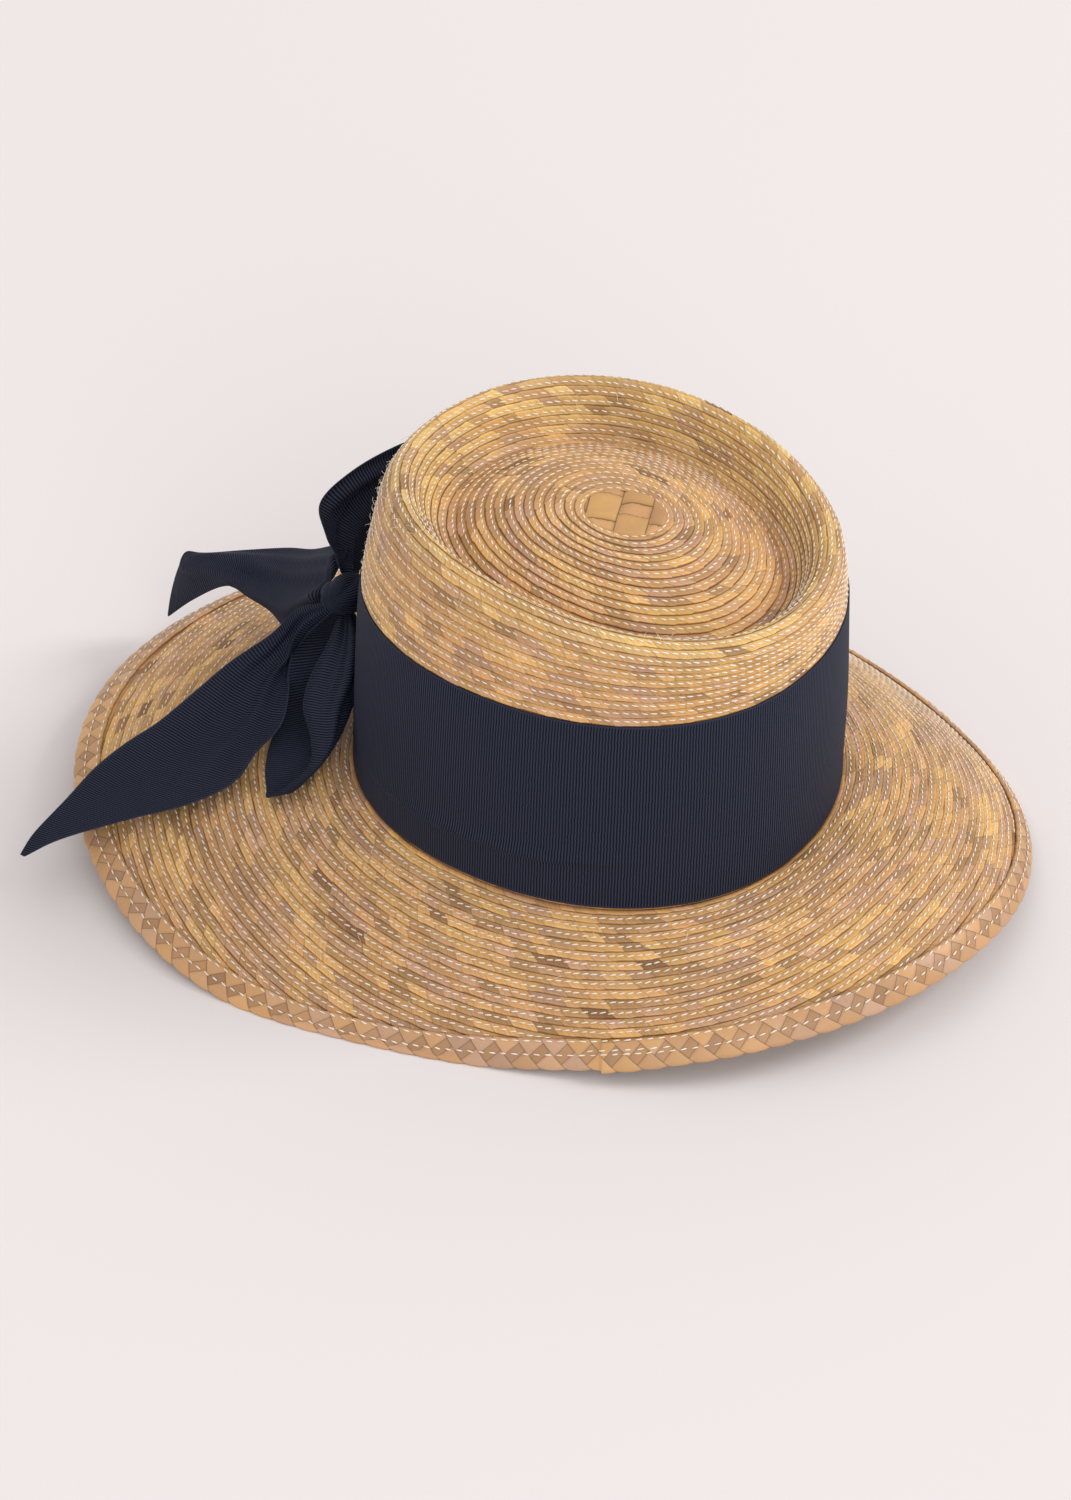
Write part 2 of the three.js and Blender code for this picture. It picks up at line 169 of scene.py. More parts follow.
def oval_point(heading, half_length, half_width):
    heading, half_length, half_width = np.broadcast_arrays(heading, half_length, half_width)
    c, s = np.cos(heading), np.sin(heading)
    r = (np.abs(c) ** OVAL_POWER + np.abs(s) ** OVAL_POWER) ** (-1 / OVAL_POWER)
    return np.stack([-half_width * r * s, -half_length * r * c, np.zeros_like(r)], axis=-1)


def unit(vectors):
    return vectors / np.maximum(np.linalg.norm(vectors, axis=-1, keepdims=True), 1e-12)


def oval_outward(heading, half_length, half_width):
    step = 1e-4
    along = oval_point(heading + step, half_length, half_width)
    along = along - oval_point(heading - step, half_length, half_width)
    return unit(np.stack([-along[..., 1], along[..., 0], np.zeros_like(along[..., 0])], axis=-1))


def crown_sizes(section):
    """The named columns of one crown section, or of many."""
    return {name: section[..., i] for i, name in enumerate(CROWN_COLUMNS)}


def height_around(sizes, heading):
    return (sizes["height"] + sizes["front_up"] * np.cos(heading)
            + sizes["ends_up"] * np.cos(2 * heading) + sizes["near_up"] * np.sin(heading))


def crown_point(heading, place):
    """A point on the crown's outside, at a place in its sections."""
    heading, place = np.broadcast_arrays(np.asarray(heading, float), np.asarray(place, float))
    sizes = crown_sizes(read_open(CROWN_SECTIONS, place))
    point = oval_point(heading, sizes["half_length"], sizes["half_width"])
    point[..., 0] += sizes["right"]
    point[..., 1] += sizes["back"]
    point[..., 2] = height_around(sizes, heading)
    return point


def brim_width(heading):
    return read_around(BRIM_SECTIONS[:, 0], np.asarray(heading, float))


def brim_point(heading, distance):
    """A point on the brim's top face, a distance out along the straw from the crown."""
    heading, distance = np.broadcast_arrays(np.asarray(heading, float), np.asarray(distance, float))
    line = crown_sizes(CROWN_SECTIONS[0])
    oval = line["half_length"], line["half_width"]
    width, crown_slope, edge_slope = (read_around(BRIM_SECTIONS[:, k], heading) for k in range(3))
    out, down = np.zeros_like(distance), np.zeros_like(distance)
    for k in range(SLOPE_STEPS):
        part = (k + 0.5) / SLOPE_STEPS * distance / width
        slope = np.radians(crown_slope + (edge_slope - crown_slope) * part)
        out += np.cos(slope) * distance / SLOPE_STEPS
        down += np.sin(slope) * distance / SLOPE_STEPS
    point = oval_point(heading, *oval) + oval_outward(heading, *oval) * out[..., None]
    point[..., 2] = height_around(line, heading) - down
    return point


def outward_of(surface, heading, place, sign):
    """The direction square to a surface, on its outer or upper side."""
    step = 1e-3
    along = surface(heading + step, place) - surface(heading - step, place)
    across = surface(heading, place + step) - surface(heading, place - step)
    return unit(np.cross(along, across)) * sign


def lifted_crown(heading, place, lift):
    heading, place, lift = np.broadcast_arrays(heading, place, lift)
    return crown_point(heading, place) + outward_of(crown_point, heading, place, -1) * lift[..., None]


def lifted_brim(heading, distance, lift):
    heading, distance, lift = np.broadcast_arrays(heading, distance, lift)
    return brim_point(heading, distance) + outward_of(brim_point, heading, distance, 1) * lift[..., None]


def lengths_along(points):
    """How far each point lies along its ring, for points[around, ring]."""
    steps = np.linalg.norm(np.diff(points, axis=0), axis=-1)
    return np.concatenate([np.zeros((1,) + steps.shape[1:]), np.cumsum(steps, axis=0)])


def crown_lengths():
    """Places down the crown from the button, and the mean length along the straw to each."""
    places = np.linspace(BUTTON_PLACE, 0, 1200)
    headings = np.linspace(0, 2 * math.pi, 37)[:-1]
    points = crown_point(headings[:, None], places[None, :])
    steps = np.linalg.norm(np.diff(points, axis=1), axis=-1).mean(axis=0)
    return places, np.concatenate([[0], np.cumsum(steps)])


class Ripples:
    """Small slow waves and saw teeth along braid rows, different in each row and the same in each run."""

    def __init__(self, seed, rows=120):
        chance = np.random.default_rng(seed)
        self.phase = chance.random((rows, 4))
        self.rows = rows

    def _phase(self, row, k):
        return self.phase[np.asarray(row, int) % self.rows, k]

    def wave(self, row, along):
        slow = np.sin(2 * math.pi * (along / 61 + self._phase(row, 0)))
        fast = np.sin(2 * math.pi * (along / 23 + self._phase(row, 1)))
        return 0.6 * slow + 0.4 * fast

    def teeth(self, row, along, length):
        return (along / length + self._phase(row, 2)) % 1.0


def row_sway(ripples, row, along):
    """How far a brim row and its stitches wander outwards."""
    return 0.22 * ripples.wave(row.astype(int) + 9, along)


def settings():
    return bpy.context.scene.hat_settings


def made_mesh(name, bm):
    mesh = bpy.data.meshes.new(name)
    bm.to_mesh(mesh)
    bm.free()
    return mesh


def read_values(items, name, kind, width=1):
    values = np.empty(len(items) * width, kind)
    items.foreach_get(name, values)
    return values


def laid_grid(name, points, along, across):
    """A grid of faces laid through points[i, j], in millimetres, with a UV map in lengths along and across.
    Its borders are still open, and join_borders closes those that meet."""
    count_i, count_j = points.shape[:2]
    bm = bmesh.new()
    bmesh.ops.create_grid(bm, x_segments=count_i - 1, y_segments=count_j - 1, size=1.0)
    mesh = made_mesh(name, bm)
    spots = read_values(mesh.vertices, "co", np.float32, 3).reshape(-1, 3)[:, :2]
    share = (spots - spots.min(axis=0)) / np.ptp(spots, axis=0)
    i = np.rint(share[:, 0] * (count_i - 1)).astype(int)
    j = np.rint(share[:, 1] * (count_j - 1)).astype(int)
    placed = (points[i, j] + TABLE_SHIFT) * MM
    mesh.vertices.foreach_set("co", placed.astype(np.float32).ravel())
    corner = read_values(mesh.loops, "vertex_index", np.int32)
    uv = np.stack([along[i, j], across[i, j]], axis=1)[corner]
    mesh.uv_layers.new(name="straw").data.foreach_set("uv", uv.astype(np.float32).ravel())
    return mesh


def join_borders(mesh, closed):
    bm = bmesh.new()
    bm.from_mesh(mesh)
    bmesh.ops.remove_doubles(bm, verts=bm.verts, dist=2e-6)
    if closed:
        bmesh.ops.recalc_face_normals(bm, faces=bm.faces)
    bm.to_mesh(mesh)
    bm.free()
    mesh.polygons.foreach_set("use_smooth", [True] * len(mesh.polygons))
    mesh.update()


def add_piece(name, mesh, material, slot, *nodes):
    piece = bpy.data.objects.new(name, mesh)
    bpy.context.scene.collection.objects.link(piece)
    mesh.materials.clear()
    mesh.materials.append(material)
    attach(piece, "root")
    if nodes:
        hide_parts(*nodes)
    return piece


def joined_copies(name, template, centres, axes, sizes):
    """Copies of a small mesh, each turned to its own three axes and stretched, joined into one mesh."""
    count, size = len(centres), len(template.vertices)
    each = np.arange(count, dtype=np.int32)[:, None]
    local = read_values(template.vertices, "co", np.float32, 3).reshape(1, size, 3) * sizes[:, None, :]
    placed = np.einsum("nsk,nkx->nsx", local, axes) + centres[:, None, :]
    placed = (placed + TABLE_SHIFT) * MM
    faces = read_values(template.loops, "vertex_index", np.int32)
    starts = read_values(template.polygons, "loop_start", np.int32)
    mesh = bpy.data.meshes.new(name)
    mesh.vertices.add(count * size)
    mesh.vertices.foreach_set("co", placed.astype(np.float32).ravel())
    mesh.loops.add(count * len(faces))
    mesh.loops.foreach_set("vertex_index", (faces[None] + each * size).ravel())
    mesh.polygons.add(count * len(starts))
    mesh.polygons.foreach_set("loop_start", (starts[None] + each * len(faces)).ravel())
    mesh.polygons.foreach_set("use_smooth", [True] * (count * len(starts)))
    mesh.update(calc_edges=True)
    return mesh


class Nodes:
    """Adds nodes to a tree and joins them up."""

    def __init__(self, tree):
        self.tree = tree

    def add(self, kind, **values):
        node = self.tree.nodes.new(kind)
        for name, value in values.items():
            setattr(node, name, value)
        return node

    def feed(self, socket, value):
        if isinstance(value, bpy.types.NodeSocket):
            self.tree.links.new(value, socket)
        elif value is not None:
            socket.default_value = value

    def math(self, operation, a, b=None):
        node = self.add("ShaderNodeMath", operation=operation)
        for socket, value in zip(node.inputs, (a, b)):
            self.feed(socket, value)
        return node.outputs[0]

    def times(self, a, b):
        return self.math("MULTIPLY", a, b)

    def plus(self, a, b):
        return self.math("ADD", a, b)

    def minus(self, a, b):
        return self.math("SUBTRACT", a, b)

    def over(self, a, b):
        return self.math("DIVIDE", a, b)

    def span(self, value, low, high, to_low=0.0, to_high=1.0, smooth=False):
        node = self.add("ShaderNodeMapRange", clamp=True)
        if smooth:
            node.interpolation_type = "SMOOTHSTEP"
        for name, setting in (("Value", value), ("From Min", low), ("From Max", high),
                              ("To Min", to_low), ("To Max", to_high)):
            self.feed(node.inputs[name], setting)
        return node.outputs["Result"]

    def mix(self, share, a, b, blend="MIX"):
        node = self.add("ShaderNodeMix", data_type="RGBA", blend_type=blend)
        self.feed(node.inputs["Factor"], share)
        self.feed(node.inputs[6], a)
        self.feed(node.inputs[7], b)
        return node.outputs[2]

    def grey(self, value):
        node = self.add("ShaderNodeCombineColor")
        for socket in node.inputs:
            self.feed(socket, value)
        return node.outputs[0]

    def parts(self, vector):
        node = self.add("ShaderNodeSeparateXYZ")
        self.feed(node.inputs[0], vector)
        return node.outputs[0], node.outputs[1]

    def off_middle(self, value, middle):
        return self.math("ABSOLUTE", self.minus(value, middle))

    def group(self, name, build, **values):
        """A shader group, built once, with values or links for its sockets."""
        node = self.add("ShaderNodeGroup")
        node.node_tree = bpy.data.node_groups.get(name) or build(name)
        for label, value in values.items():
            self.feed(node.inputs[label], value)
        return node

    def vector(self, x, y, z=0.0):
        node = self.add("ShaderNodeCombineXYZ")
        for socket, value in zip(node.inputs, (x, y, z)):
            self.feed(socket, value)
        return node.outputs[0]

    def noise(self, vector, scale, detail=2.0, roughness=0.5):
        node = self.add("ShaderNodeTexNoise", noise_dimensions="3D")
        self.feed(node.inputs["Vector"], vector)
        self.feed(node.inputs["Scale"], scale)
        self.feed(node.inputs["Detail"], detail)
        self.feed(node.inputs["Roughness"], roughness)
        return node.outputs["Fac"]

    def cells(self, at, feature):
        node = self.add("ShaderNodeTexVoronoi", voronoi_dimensions="1D", feature=feature)
        self.feed(node.inputs["W"], at)
        self.feed(node.inputs["Scale"], 1.0)
        return node

    def chance(self, value, other=None):
        if other is None:
            node = self.add("ShaderNodeTexWhiteNoise", noise_dimensions="1D")
            self.feed(node.inputs["W"], value)
        else:
            node = self.add("ShaderNodeTexWhiteNoise", noise_dimensions="2D")
            self.feed(node.inputs["Vector"], self.vector(value, other))
        return node.outputs["Value"]


def new_group(name, inputs, outputs):
    """A shader group with named sockets; inputs are (name, kind, default)."""
    group = bpy.data.node_groups.new(name, "ShaderNodeTree")
    for label, kind, default in inputs:
        socket = group.interface.new_socket(label, in_out="INPUT", socket_type=kind)
        if default is not None:
            socket.default_value = default
    for label, kind in outputs:
        group.interface.new_socket(label, in_out="OUTPUT", socket_type=kind)
    nodes = Nodes(group)
    entry = nodes.add("NodeGroupInput")
    leave = nodes.add("NodeGroupOutput")
    return group, nodes, entry.outputs, leave.inputs


FLOAT, COLOUR, VECTOR = "NodeSocketFloat", "NodeSocketColor", "NodeSocketVector"


def build_leaf_fibre(name):
    """Fine streaks that run along a palm leaf, from lengths across and along it in millimetres."""
    group, n, given, made = new_group(
        name, [("Across", FLOAT, 0.0), ("Along", FLOAT, 0.0), ("Seed", FLOAT, 0.0)],
        [("Streaks", FLOAT), ("Blotches", FLOAT)])
    fine = n.noise(n.vector(n.times(given["Across"], 4.2), n.times(given["Along"], 0.28),
                            given["Seed"]), 1.0, 2.0, 0.6)
    n.feed(made["Streaks"], n.span(fine, 0.3, 0.7))
    broad = n.noise(n.vector(n.times(given["Across"], 0.5), n.times(given["Along"], 0.16),
                             given["Seed"]), 1.0, 3.0, 0.6)
    n.feed(made["Blotches"], n.span(broad, 0.3, 0.72))
    return group


LEAF_COLOURS = [("Golden", COLOUR, None), ("Tan", COLOUR, None), ("Rose", COLOUR, None),
                ("Olive", COLOUR, None), ("Umber", COLOUR, None)]


def leaf_tone(n, given, pick, tint):
    """One leaf's colour out of the five, from its own chance and a slow tint over the hat."""
    tone = n.mix(n.span(n.plus(pick, n.times(tint, 0.5)), 0.4, 1.15), given["Tan"], given["Golden"])
    tone = n.mix(n.span(n.minus(pick, n.times(tint, 0.35)), 0.4, 0.72), tone, given["Rose"])
    tone = n.mix(n.span(pick, 0.17, 0.11), tone, given["Olive"])
    return n.mix(n.span(pick, 0.03, 0.008), tone, given["Umber"])


def build_sewn_rows(name):
    """Rows of sewn plait: long slanting leaf patches, fine strand lines, darker seams between patches,
    painted shade in the crevices between rows and a painted highlight along each row's folded outer edge.
    The vector holds the length along the row in millimetres, and the row number with its share across."""
    group, n, given, made = new_group(
        name, [("Vector", VECTOR, None), ("Patch Length", FLOAT, 9.0), ("Slant", FLOAT, 3.2),
               ("Strand Width", FLOAT, 2.1), ("Crevice", FLOAT, 0.6), ("Yellow Row", FLOAT, NO_ROW),
               ("Yellow Spread", FLOAT, 8.0), ("Yellow", COLOUR, None)] + LEAF_COLOURS,
        [("Color", COLOUR), ("Height", FLOAT), ("Roughness", FLOAT)])
    along, place = n.parts(given["Vector"])
    row = n.math("FLOOR", place)
    share = n.minus(place, row)
    own = n.chance(row)
    bend = n.noise(n.vector(n.times(along, 0.11), n.times(place, 1.0)), 1.0, 1.0)
    slanted = n.plus(along, n.times(share, given["Slant"]))
    slanted = n.plus(slanted, n.times(bend, 2.4))
    at = n.plus(n.over(slanted, given["Patch Length"]), n.times(own, 91.0))
    cell, border = n.cells(at, "F1"), n.cells(at, "DISTANCE_TO_EDGE")
    pick = n.chance(cell.outputs["W"], n.times(row, 1.37))
    second = n.chance(n.plus(cell.outputs["W"], 7.31), row)
    tint = n.noise(n.vector(n.times(along, 0.012), n.times(place, 0.16)), 1.0, 2.0, 0.6)
    tint = n.span(tint, 0.35, 0.65)
    tone = leaf_tone(n, given, pick, tint)
    off_yellow = n.over(n.off_middle(place, given["Yellow Row"]), given["Yellow Spread"])
    yellow = n.times(n.span(off_yellow, 1.0, 0.4), n.span(second, 0.15, 0.9, 0.1, 0.85))
    tone = n.mix(yellow, tone, given["Yellow"])
    fibre = n.group("leaf_fibre", build_leaf_fibre, Across=slanted, Along=n.times(share, 3.6),
                    Seed=n.times(row, 3.7))
    streaks, blotches = fibre.outputs["Streaks"], fibre.outputs["Blotches"]
    strand = n.math("FRACT", n.plus(n.over(slanted, given["Strand Width"]), own))
    line = n.span(n.off_middle(strand, 0.5), 0.5, 0.41)
    seam = n.span(border.outputs["Distance"], 0.0, 0.03)
    brightness = n.times(n.span(second, 0.0, 1.0, 0.84, 1.2), n.span(streaks, 0.0, 1.0, 0.86, 1.12))
    brightness = n.times(brightness, n.span(blotches, 0.0, 1.0, 0.9, 1.06))
    # Painted highlight: each row is lighter along its folded outer edge, about 0.84 of the way across.
    fold = n.span(n.off_middle(share, 0.84), 0.12, 0.02, 1.0, 1.14)
    broad = n.noise(n.vector(n.times(along, 0.022), n.times(place, 0.09), 4.0), 1.0, 2.0, 0.6)
    brightness = n.times(brightness, n.times(fold, n.span(broad, 0.3, 0.7, 0.88, 1.1)))
    lit = n.mix(1.0, tone, n.grey(brightness), "MULTIPLY")
    notch = n.times(n.span(border.outputs["Distance"], 0.07, 0.0), n.span(share, 0.72, 0.95))
    # Painted shade: the inner and outer sides of each row darken towards a deep brown, for the shade in the
    # crevices where rows overlap. Joined with it below are darker notches where patches meet near the outer
    # edge, the darker seams between patches and the fine strand lines.
    inner = n.span(share, 0.09, 0.0, smooth=True)
    outer = n.span(share, 0.945, 0.985, smooth=True)
    dark = n.times(n.math("MAXIMUM", inner, outer), given["Crevice"])
    dark = n.math("MAXIMUM", dark, n.times(notch, 0.8))
    dark = n.math("MAXIMUM", dark, n.times(n.minus(1.0, seam), 0.55))
    dark = n.math("MAXIMUM", dark, n.times(n.minus(1.0, line), 0.28))
    n.feed(made["Color"], n.mix(dark, lit, n.mix(0.7, tone, (0.08, 0.022, 0.006, 1.0), "MULTIPLY")))
    height = n.plus(n.times(line, 0.45), n.times(seam, 0.5))
    height = n.plus(height, n.times(streaks, 0.16))
    n.feed(made["Height"], height)
    n.feed(made["Roughness"], n.span(n.times(streaks, second), 0.0, 1.0, 0.42, 0.62))
    return group


def build_flat_plait(name):
    """A wide flat plait of leaf at 45 degrees. The vector holds lengths along and across in millimetres."""
    group, n, given, made = new_group(
        name, [("Vector", VECTOR, None), ("Strand Diagonal", FLOAT, 9.8), ("Seam Darkness", FLOAT, 0.55)]
        + LEAF_COLOURS, [("Color", COLOUR), ("Height", FLOAT), ("Roughness", FLOAT)])
    along, across = (n.over(part, given["Strand Diagonal"]) for part in n.parts(given["Vector"]))
    leaning, crossing = n.minus(along, across), n.plus(along, across)
    i = n.math("FLOOR", leaning)
    beside = n.minus(leaning, i)
    turns = n.times(n.plus(crossing, i), 0.5)
    j = n.math("FLOOR", turns)
    phase = n.times(n.minus(turns, j), 2.0)
    over = n.math("LESS_THAN", phase, OVER_SHARE)
    under = n.minus(1.0, over)

    def either(for_over, for_under):
        return n.plus(n.times(over, for_over), n.times(under, for_under))

    strand = either(i, n.plus(j, 311.0))
    pick = n.chance(strand)
    second = n.chance(n.plus(strand, 0.37), either(j, i))
    tint = n.noise(n.vector(n.times(along, 0.08), n.times(across, 0.1)), 1.0, 1.0)
    tone = leaf_tone(n, given, pick, n.span(tint, 0.35, 0.65))
    tone = n.mix(n.times(under, 0.6), tone, given["Umber"])
    side = either(beside, n.over(n.minus(phase, OVER_SHARE), 2 - OVER_SHARE))
    run = either(n.over(phase, OVER_SHARE), beside)
    fibre = n.group("leaf_fibre", build_leaf_fibre, Across=n.times(side, given["Strand Diagonal"]),
                    Along=n.times(run, given["Strand Diagonal"]), Seed=strand)
    streaks = fibre.outputs["Streaks"]
    near_side = n.times(n.off_middle(side, 0.5), 2.0)
    near_end = n.times(n.off_middle(run, 0.5), 2.0)
    gap = n.span(n.math("MAXIMUM", near_side, near_end), 1.0, 0.93)
    # Painted shade: each strand darkens to 0.84 towards the ends of its run, where it passes under the next
    # strand.
    tucked_shade = n.span(near_end, 1.0, 0.72, 0.84, 1.0)
    brightness = n.times(n.span(second, 0.0, 1.0, 0.86, 1.1), n.span(streaks, 0.0, 1.0, 0.93, 1.05))
    brightness = n.times(brightness, n.times(tucked_shade, n.span(gap, 0.0, 1.0, given["Seam Darkness"], 1.0)))
    n.feed(made["Color"], n.mix(1.0, tone, n.grey(brightness), "MULTIPLY"))
    n.feed(made["Height"], n.plus(n.times(streaks, 0.12), n.times(gap, 0.4)))
    n.feed(made["Roughness"], n.span(streaks, 0.0, 1.0, 0.34, 0.52))
    return group


def build_grosgrain(name):
    """Ribbon with close ribs across it, with painted shade near black between the ribs. The vector holds
    lengths along and across in millimetres.
    """
    group, n, given, made = new_group(
        name, [("Vector", VECTOR, None), ("Rib Pitch", FLOAT, 1.12), ("Width", FLOAT, 55.0),
               ("Crest", COLOUR, None), ("Valley", COLOUR, None)],
        [("Color", COLOUR), ("Height", FLOAT)])
    along, across = n.parts(given["Vector"])
    waver = n.noise(n.vector(n.times(along, 0.12), n.times(across, 0.35)), 1.0, 2.0)
    turns = n.over(n.plus(along, n.times(waver, 0.5)), given["Rib Pitch"])
    rib = n.plus(n.times(n.math("COSINE", n.times(turns, 2 * math.pi)), 0.5), 0.5)
    thread = n.noise(n.vector(n.times(along, 1.3), n.times(across, 2.6)), 1.0, 2.0, 0.7)
    edge = n.math("MINIMUM", across, n.minus(given["Width"], across))
    selvage = n.span(edge, 1.1, 0.7)
    ribbed = n.times(rib, n.minus(1.0, selvage))
    shade = n.plus(ribbed, n.times(selvage, 0.7))
    shade = n.times(shade, n.span(thread, 0.3, 0.7, 0.75, 1.1))
    # Painted shade: the valleys between the ribs are near black against the navy crests.
    n.feed(made["Color"], n.mix(n.math("MINIMUM", shade, 1.0), given["Valley"], given["Crest"]))
    n.feed(made["Height"], n.plus(shade, n.times(thread, 0.12)))
    return group


def new_material(name):
    material = bpy.data.materials.get(name)
    if material:
        return material, None, None
    material = bpy.data.materials.new(name)
    material.use_nodes = True
    nodes = Nodes(material.node_tree)
    return material, nodes, material.node_tree.nodes["Principled BSDF"]


def set_inputs(node, values):
    for label, value in values.items():
        node.inputs[label].default_value = value


def dress(n, shader, group, colours, relief):
    """Feeds a shader from a pattern group laid by the piece's own UV map, with its relief as bump."""
    n.feed(group.inputs["Vector"], n.add("ShaderNodeUVMap", uv_map="straw").outputs[0])
    for label, name in colours.items():
        n.feed(group.inputs[label], tuple(getattr(settings(), name)))
    n.feed(shader.inputs["Base Color"], group.outputs["Color"])
    bump = n.add("ShaderNodeBump")
    set_inputs(bump, {"Strength": 1.0, "Distance": relief * MM})
    n.feed(bump.inputs["Height"], group.outputs["Height"])
    n.feed(shader.inputs["Normal"], bump.outputs[0])


LEAF_SOCKETS = {"Golden": "golden", "Tan": "tan", "Rose": "rose", "Olive": "olive", "Umber": "umber"}
EDGE_SOCKETS = {"Golden": "edge_light", "Tan": "edge_tan", "Rose": "edge_rose", "Olive": "edge_tan",
                "Umber": "edge_umber"}
BUTTON_SOCKETS = {"Golden": "golden", "Tan": "edge_light", "Rose": "edge_tan", "Olive": "tan",
                  "Umber": "tan"}


def straw_material(name, build, group_name, values, sockets, relief, gloss=0.25):
    """Palm leaf straw: one of the leaf groups, with its relief."""
    material, n, shader = new_material(name)
    if n is None:
        return material
    group = n.group(group_name, build)
    set_inputs(group, values)
    dress(n, shader, group, sockets, relief)
    n.feed(shader.inputs["Roughness"], group.outputs["Roughness"])
    set_inputs(shader, {"Specular IOR Level": gloss})
    return material


def rows_material(name, yellow_row, yellow_spread):
    return straw_material(name, build_sewn_rows, "sewn_rows",
                          {"Patch Length": 9.0, "Slant": 3.6, "Strand Width": 2.2, "Crevice": 0.92,
                           "Yellow Row": yellow_row, "Yellow Spread": yellow_spread},
                          {**LEAF_SOCKETS, "Yellow": "yellow"}, 0.1)


def edge_material():
    return straw_material("straw_edge", build_flat_plait, "flat_plait",
                          {"Strand Diagonal": settings().edge_strand, "Seam Darkness": 0.42},
                          EDGE_SOCKETS, 0.1, 0.5)


def button_material():
    return straw_material("straw_button", build_flat_plait, "flat_plait",
                          {"Strand Diagonal": BUTTON_STRAND, "Seam Darkness": 0.35},
                          BUTTON_SOCKETS, 0.14, 0.3)


RIB_RELIEF = 0.22
RIBBON_SHEEN = {"Roughness": 0.62, "Specular IOR Level": 0.1, "Sheen Weight": 0.02, "Sheen Roughness": 0.45,
                "Sheen Tint": (0.6, 0.7, 1.0, 1.0)}


def ribbon_material(name, width, rib_pitch):
    material, n, shader = new_material(name)
    if n is None:
        return material
    group = n.group("grosgrain", build_grosgrain)
    set_inputs(group, {"Rib Pitch": rib_pitch, "Width": width})
    dress(n, shader, group, {"Crest": "ribbon_crest", "Valley": "ribbon_valley_shade"}, RIB_RELIEF)
    set_inputs(shader, RIBBON_SHEEN)
    return material


def thread_material():
    material, n, shader = new_material("thread")
    if n is None:
        return material
    spot = n.add("ShaderNodeTexCoord").outputs["Object"]
    patchy = n.noise(spot, 260.0, 1.0)
    twist = n.noise(spot, 2600.0, 2.0)
    tone = n.mix(n.span(patchy, 0.35, 0.65), tuple(settings().thread_cream), tuple(settings().thread_white))
    tone = n.mix(1.0, tone, n.grey(n.span(twist, 0.3, 0.7, 0.82, 1.0)), "MULTIPLY")
    n.feed(shader.inputs["Base Color"], tone)
    set_inputs(shader, {"Roughness": 0.6, "Specular IOR Level": 0.3})
    return material


def headings_for(count):
    """Headings round the hat from the back, where the bow hides the seam."""
    return np.linspace(math.pi, 3 * math.pi, count + 1)


def brim_rings(rows, pitch, profile, first_lift, drop, keeps_share):
    """Rings of one face of the brim: row place, distance out, lift, row, and share across the row."""
    rings = np.array([(row + share, FIRST_BRIM_ROW + pitch * (row + share), lift - drop, row,
                       share if keeps_share else 0.0) for row in rows for share, lift in profile])
    rings = rings[rings[:, 1] > FIT_GAP]
    return np.vstack([(rings[0, 0] - 0.05, FIT_GAP, first_lift, -1, 0.0), rings])


class HAT_OT_brim(bpy.types.Operator):
    """The brim: overlapping rows of sewn braid that run out under the edge braid."""

    bl_idname = "hat.brim"
    bl_label = "Brim rows"

    def execute(self, context):
        s = settings()
        pitch = s.row_pitch
        heading = headings_for(s.brim_steps)[:, None]
        last = float(brim_width(heading).max()) - EDGE_WIDTH + EDGE_OVERLAP
        rows = range(-1, int((last - FIRST_BRIM_ROW) / pitch) + 1)
        top = brim_rings(rows, pitch, ROW_PROFILE, 0.1, 0.0, True)
        under = brim_rings(rows, pitch, ROW_PROFILE_UNDER, -BRIM_UNDER, BRIM_UNDER, False)
        rings = np.vstack([top, under[::-1], top[:1]])
        place, distance, lift, row, share = (rings[:, k][None, :] for k in range(5))
        limit = brim_width(heading) - EDGE_WIDTH + EDGE_OVERLAP
        middle = np.maximum(FIRST_BRIM_ROW + pitch * (row + 0.5), FIT_GAP)
        along = lengths_along(brim_point(heading, np.minimum(middle, limit)))
        ripples = Ripples(3)
        edge_part = np.where(share > 0.8, 1.0, 0.0)
        tooth = ripples.teeth(row.astype(int) + 2, along, TOOTH_LENGTH)
        moved = distance + edge_part * (TOOTH_OUT - BRIM_TOOTH_IN * tooth) + row_sway(ripples, row, along)
        raised = lift * np.where(lift > 0, 1 + BRIM_SWELL * ripples.wave(row.astype(int) + 40, along), 1)
        moved = np.maximum(moved, FIT_GAP)
        ended = moved >= limit
        flat = np.where(lift > 0, BRIM_END_TOP, BRIM_END_UNDER)
        points = lifted_brim(heading, np.where(ended, limit, moved), np.where(ended, flat, raised))
        points[..., 2] = np.maximum(points[..., 2], FLOOR_LEVEL + 0.4)
        mesh = laid_grid("brim_rows", points, along, np.broadcast_to(place, along.shape))
        join_borders(mesh, True)
        add_piece("brim_rows", mesh, rows_material("straw_brim", NO_ROW, 8.0), "straw", "brim")
        return {"FINISHED"}


